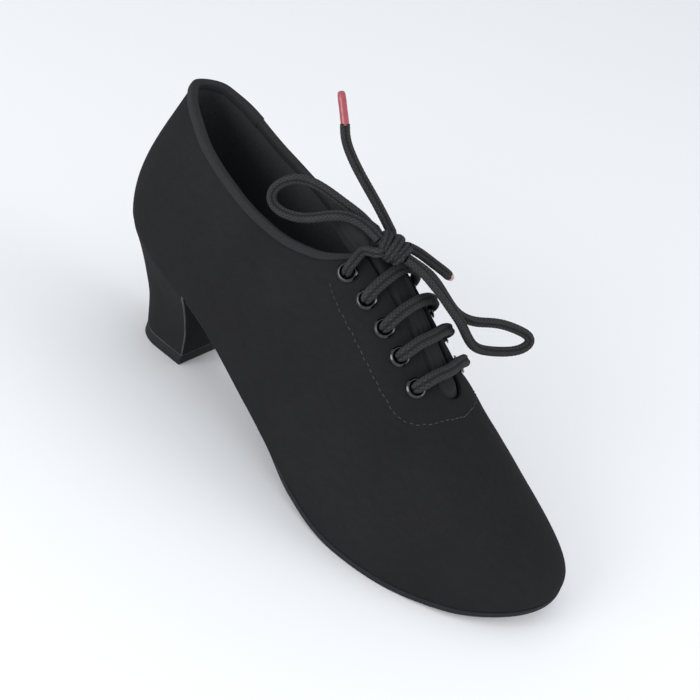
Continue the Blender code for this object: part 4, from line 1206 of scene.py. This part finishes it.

# %% [markdown]
# ## The heel
# A Cuban heel narrows quickly below the seat and then falls straight. This one is a wooden block in the
# upper's cloth. Narrow strips of faces run along the corners of the breast and along the foot, where the
# cloth is folded, and take a lighter grey finish of their own: a thin painted highlight on these edges.

# %% Heel and its top piece
HEEL_TIP_THICKNESS, HEEL_FOOT_LENGTH, HEEL_FOOT_WIDTH, HEEL_FOOT_BACK = 4.5, 28.0, 27.0, 29.0
HEEL_TAPER = np.array(((0.00, 0.00), (0.05, 0.04), (0.12, 0.15), (0.20, 0.27), (0.32, 0.43), (0.48, 0.62),
                       (0.70, 0.84), (1.00, 1.00))).T
SIDE_COUNT, BREAST_COUNT, SEAT_TUCK, FOOT_STRAIGHT = 44, 9, 0.4, 0.35
FOLD_SHARE, CORNER_PULL, FOOT_FOLD = 0.012, 0.15, 0.988
HEEL_LEVELS = np.append(FOOT_FOLD * np.linspace(0, 1, 43)**1.15, 1.0)
TIP_LEVELS = ((0.0, 0.975), (0.4, 1.0), (HEEL_TIP_THICKNESS - 0.3, 1.0), (HEEL_TIP_THICKNESS, 0.985))
cover = Finish("heel_cover", (0.013, 0.013, 0.0145), 0.95, Specular_IOR_Level=0.1)
cover.mottle((0.0085, 0.0085, 0.0095), (0.022, 0.022, 0.0245), cover.noise(0.5), cover.noise(12.0), 0.5,
             (0.07, 0.5))
# A lighter grey finish for the strips on the breast's corners and along the foot: a painted highlight line.
painted_highlight = Finish("painted_highlight_line", (0.06, 0.062, 0.064), 0.85, Specular_IOR_Level=0.1)
painted_highlight.mottle((0.008, 0.0082, 0.009), (0.105, 0.108, 0.112), painted_highlight.noise(1.5, 3.0), painted_highlight.noise(9.0), 0.5)
rubber = Finish("heel_rubber", (0.013, 0.0135, 0.0145), 0.75, Specular_IOR_Level=0.2)
rubber.mottle((0.009, 0.0095, 0.0105), (0.018, 0.0187, 0.020), rubber.noise(0.8), relief=(0.05, 0.4))


def heel_outlines():
    """Plan lines of the heel's seat and foot on each side, from the breast to the back."""
    turn = np.concatenate([[0, FOLD_SHARE], np.linspace(2.5 * FOLD_SHARE, 1, SIDE_COUNT - 2)])
    rows, radius = row_along(BREAST) * (1 - turn), HEEL_FOOT_WIDTH / 2
    angle = np.clip((turn - FOOT_STRAIGHT) / (1 - FOOT_STRAIGHT), 0, 1) * math.pi / 2
    front, centre = HEEL_FOOT_BACK + HEEL_FOOT_LENGTH, HEEL_FOOT_BACK + radius
    x = np.where(turn < FOOT_STRAIGHT, front + (centre - front) * turn / FOOT_STRAIGHT,
                 centre - radius * np.sin(angle))
    seat, foot = {}, {}
    for side in (LATERAL, MEDIAL):
        seat[side] = outline_offset(place_of(side, rows), np.full(SIDE_COUNT, -SEAT_TUCK))
        foot[side] = np.column_stack([x, side * radius * np.cos(angle)])
        seat[side][-1, 1] = foot[side][-1, 1] = 0
    seat[LATERAL][0, 0] = seat[MEDIAL][0, 0]
    return seat, foot


def block_net(levels):
    """A block from rings that run along one side to the back, along the other, and across the breast."""
    size, far_corner = len(levels[0]), 2 * SIDE_COUNT - 2
    faces, measures = net_faces(len(levels), size, False)
    strips = [[i, i + 1, far_corner - 1 - i, far_corner - i] for i in range(1, SIDE_COUNT - 1)]
    strips.append([0, 1, far_corner - 1, *range(far_corner, size)])
    for start in (0, (len(levels) - 1) * size):
        for strip in strips:
            corners = [start + i for i in dict.fromkeys(strip)]
            faces.append(corners if start else corners[::-1])
            measures.append([(0.0, 0.0)] * len(corners))
    return np.vstack(levels), faces, measures


def heel_ring(lines, heights):
    """One level of the block: the two side lines and the breast between them."""
    outer = np.column_stack([lines[LATERAL], heights[LATERAL]])
    inner = np.column_stack([lines[MEDIAL], heights[MEDIAL]])
    shares = np.concatenate([[FOLD_SHARE], np.linspace(0, 1, BREAST_COUNT)[1:-1], [1 - FOLD_SHARE]])[:, None]
    breast = inner[0] + (outer[0] - inner[0]) * shares
    outer[0] += CORNER_PULL * (unit(outer[1] - outer[0]) + unit(breast[-1] - outer[0]))
    inner[0] += CORNER_PULL * (unit(inner[1] - inner[0]) + unit(breast[0] - inner[0]))
    return np.vstack([outer, inner[-2::-1], breast])


seat, foot = heel_outlines()
foot_height = HEEL_TIP_THICKNESS + GAP
tops = {side: feather_height(seat[side][:, 0]) - GAP for side in seat}
levels = []
for down in HEEL_LEVELS:
    share = float(smooth_table(*HEEL_TAPER, down))
    plan = {side: seat[side] + (foot[side] - seat[side]) * share for side in seat}
    levels.append(heel_ring(plan, {side: tops[side] + (foot_height - tops[side]) * down for side in seat}))
size = len(levels[0])
corner_columns = {0, 2 * SIDE_COUNT - 3, 2 * SIDE_COUNT - 2, size - 1}
heel_net = block_net(levels)
# Faces of the corner and foot strips take the painted highlight finish.
kinds = np.zeros(len(heel_net[1]), int)
for i in range((len(levels) - 1) * size):
    kinds[i] = i % size in corner_columns or i >= (len(levels) - 2) * size
add_piece("heel_block", heel_net, [cover, painted_highlight], ["heel"], kinds)

middle = np.array((HEEL_FOOT_BACK + HEEL_FOOT_LENGTH / 2, 0.0))
tip_levels = []
for height, share in TIP_LEVELS:
    lines = {side: middle + (foot[side] - middle) * share for side in foot}
    tip_levels.append(heel_ring(lines, {side: np.full(SIDE_COUNT, height) for side in foot}))
add_piece("heel_top_piece", block_net(tip_levels), [rubber], ["heel_tip"])
print("heel faces:", len(kinds), "of which rubbed:", kinds.sum())

# %% [markdown]
# ## Floor and light
# Black cloth shows its shape only by soft, wide light. The floor is a pale sheet. One big soft lamp stands on
# the outer side, a weaker one beyond the toe on the inner side, and a pale sky lifts the shadows. Plain tones
# keep the cloth as dark as it is.

# %% Floor, lamps and sky
FLOOR_REACH, LAMP_TARGET = 6, (0.0, 0.0, 0.05)
LAMPS = (("key", (-0.22, -0.95, 0.34), 0.7, 6.6), ("rim", (0.80, 0.30, 0.32), 0.6, 3.0))
SKY_COLOUR, SKY_STRENGTH = (0.93, 0.96, 1.0, 1.0), 0.89
floor_mesh = bpy.data.meshes.new("floor")
floor_corners = [(FLOOR_REACH * x, FLOOR_REACH * y, 0) for x, y in ((-1, -1), (1, -1), (1, 1), (-1, 1))]
floor_mesh.from_pydata(floor_corners, [], [(0, 1, 2, 3)])
pale = Finish("pale_floor", (0.865, 0.868, 0.875), 0.8, Specular_IOR_Level=0.2)
floor_mesh.materials.append(pale.material)
show("floor", floor_mesh)
for name, place, size, power in LAMPS:
    data = bpy.data.lights.new(name, "AREA")
    data.shape = "DISK"
    data.size = size
    data.energy = power
    towards = unit(np.subtract(LAMP_TARGET, place))
    level = unit(np.cross(towards, (0.0, 0.0, 1.0)))
    put(show(name, data), place, level, np.cross(level, towards), -towards)
sky = bpy.data.worlds.new("sky")
bpy.context.scene.world = sky
sky.use_nodes = True
sky.node_tree.nodes["Background"].inputs["Color"].default_value = SKY_COLOUR
sky.node_tree.nodes["Background"].inputs["Strength"].default_value = SKY_STRENGTH
bpy.context.scene.view_settings.view_transform = "Standard"
print("soft lamps:", len(LAMPS), "and a pale sky")
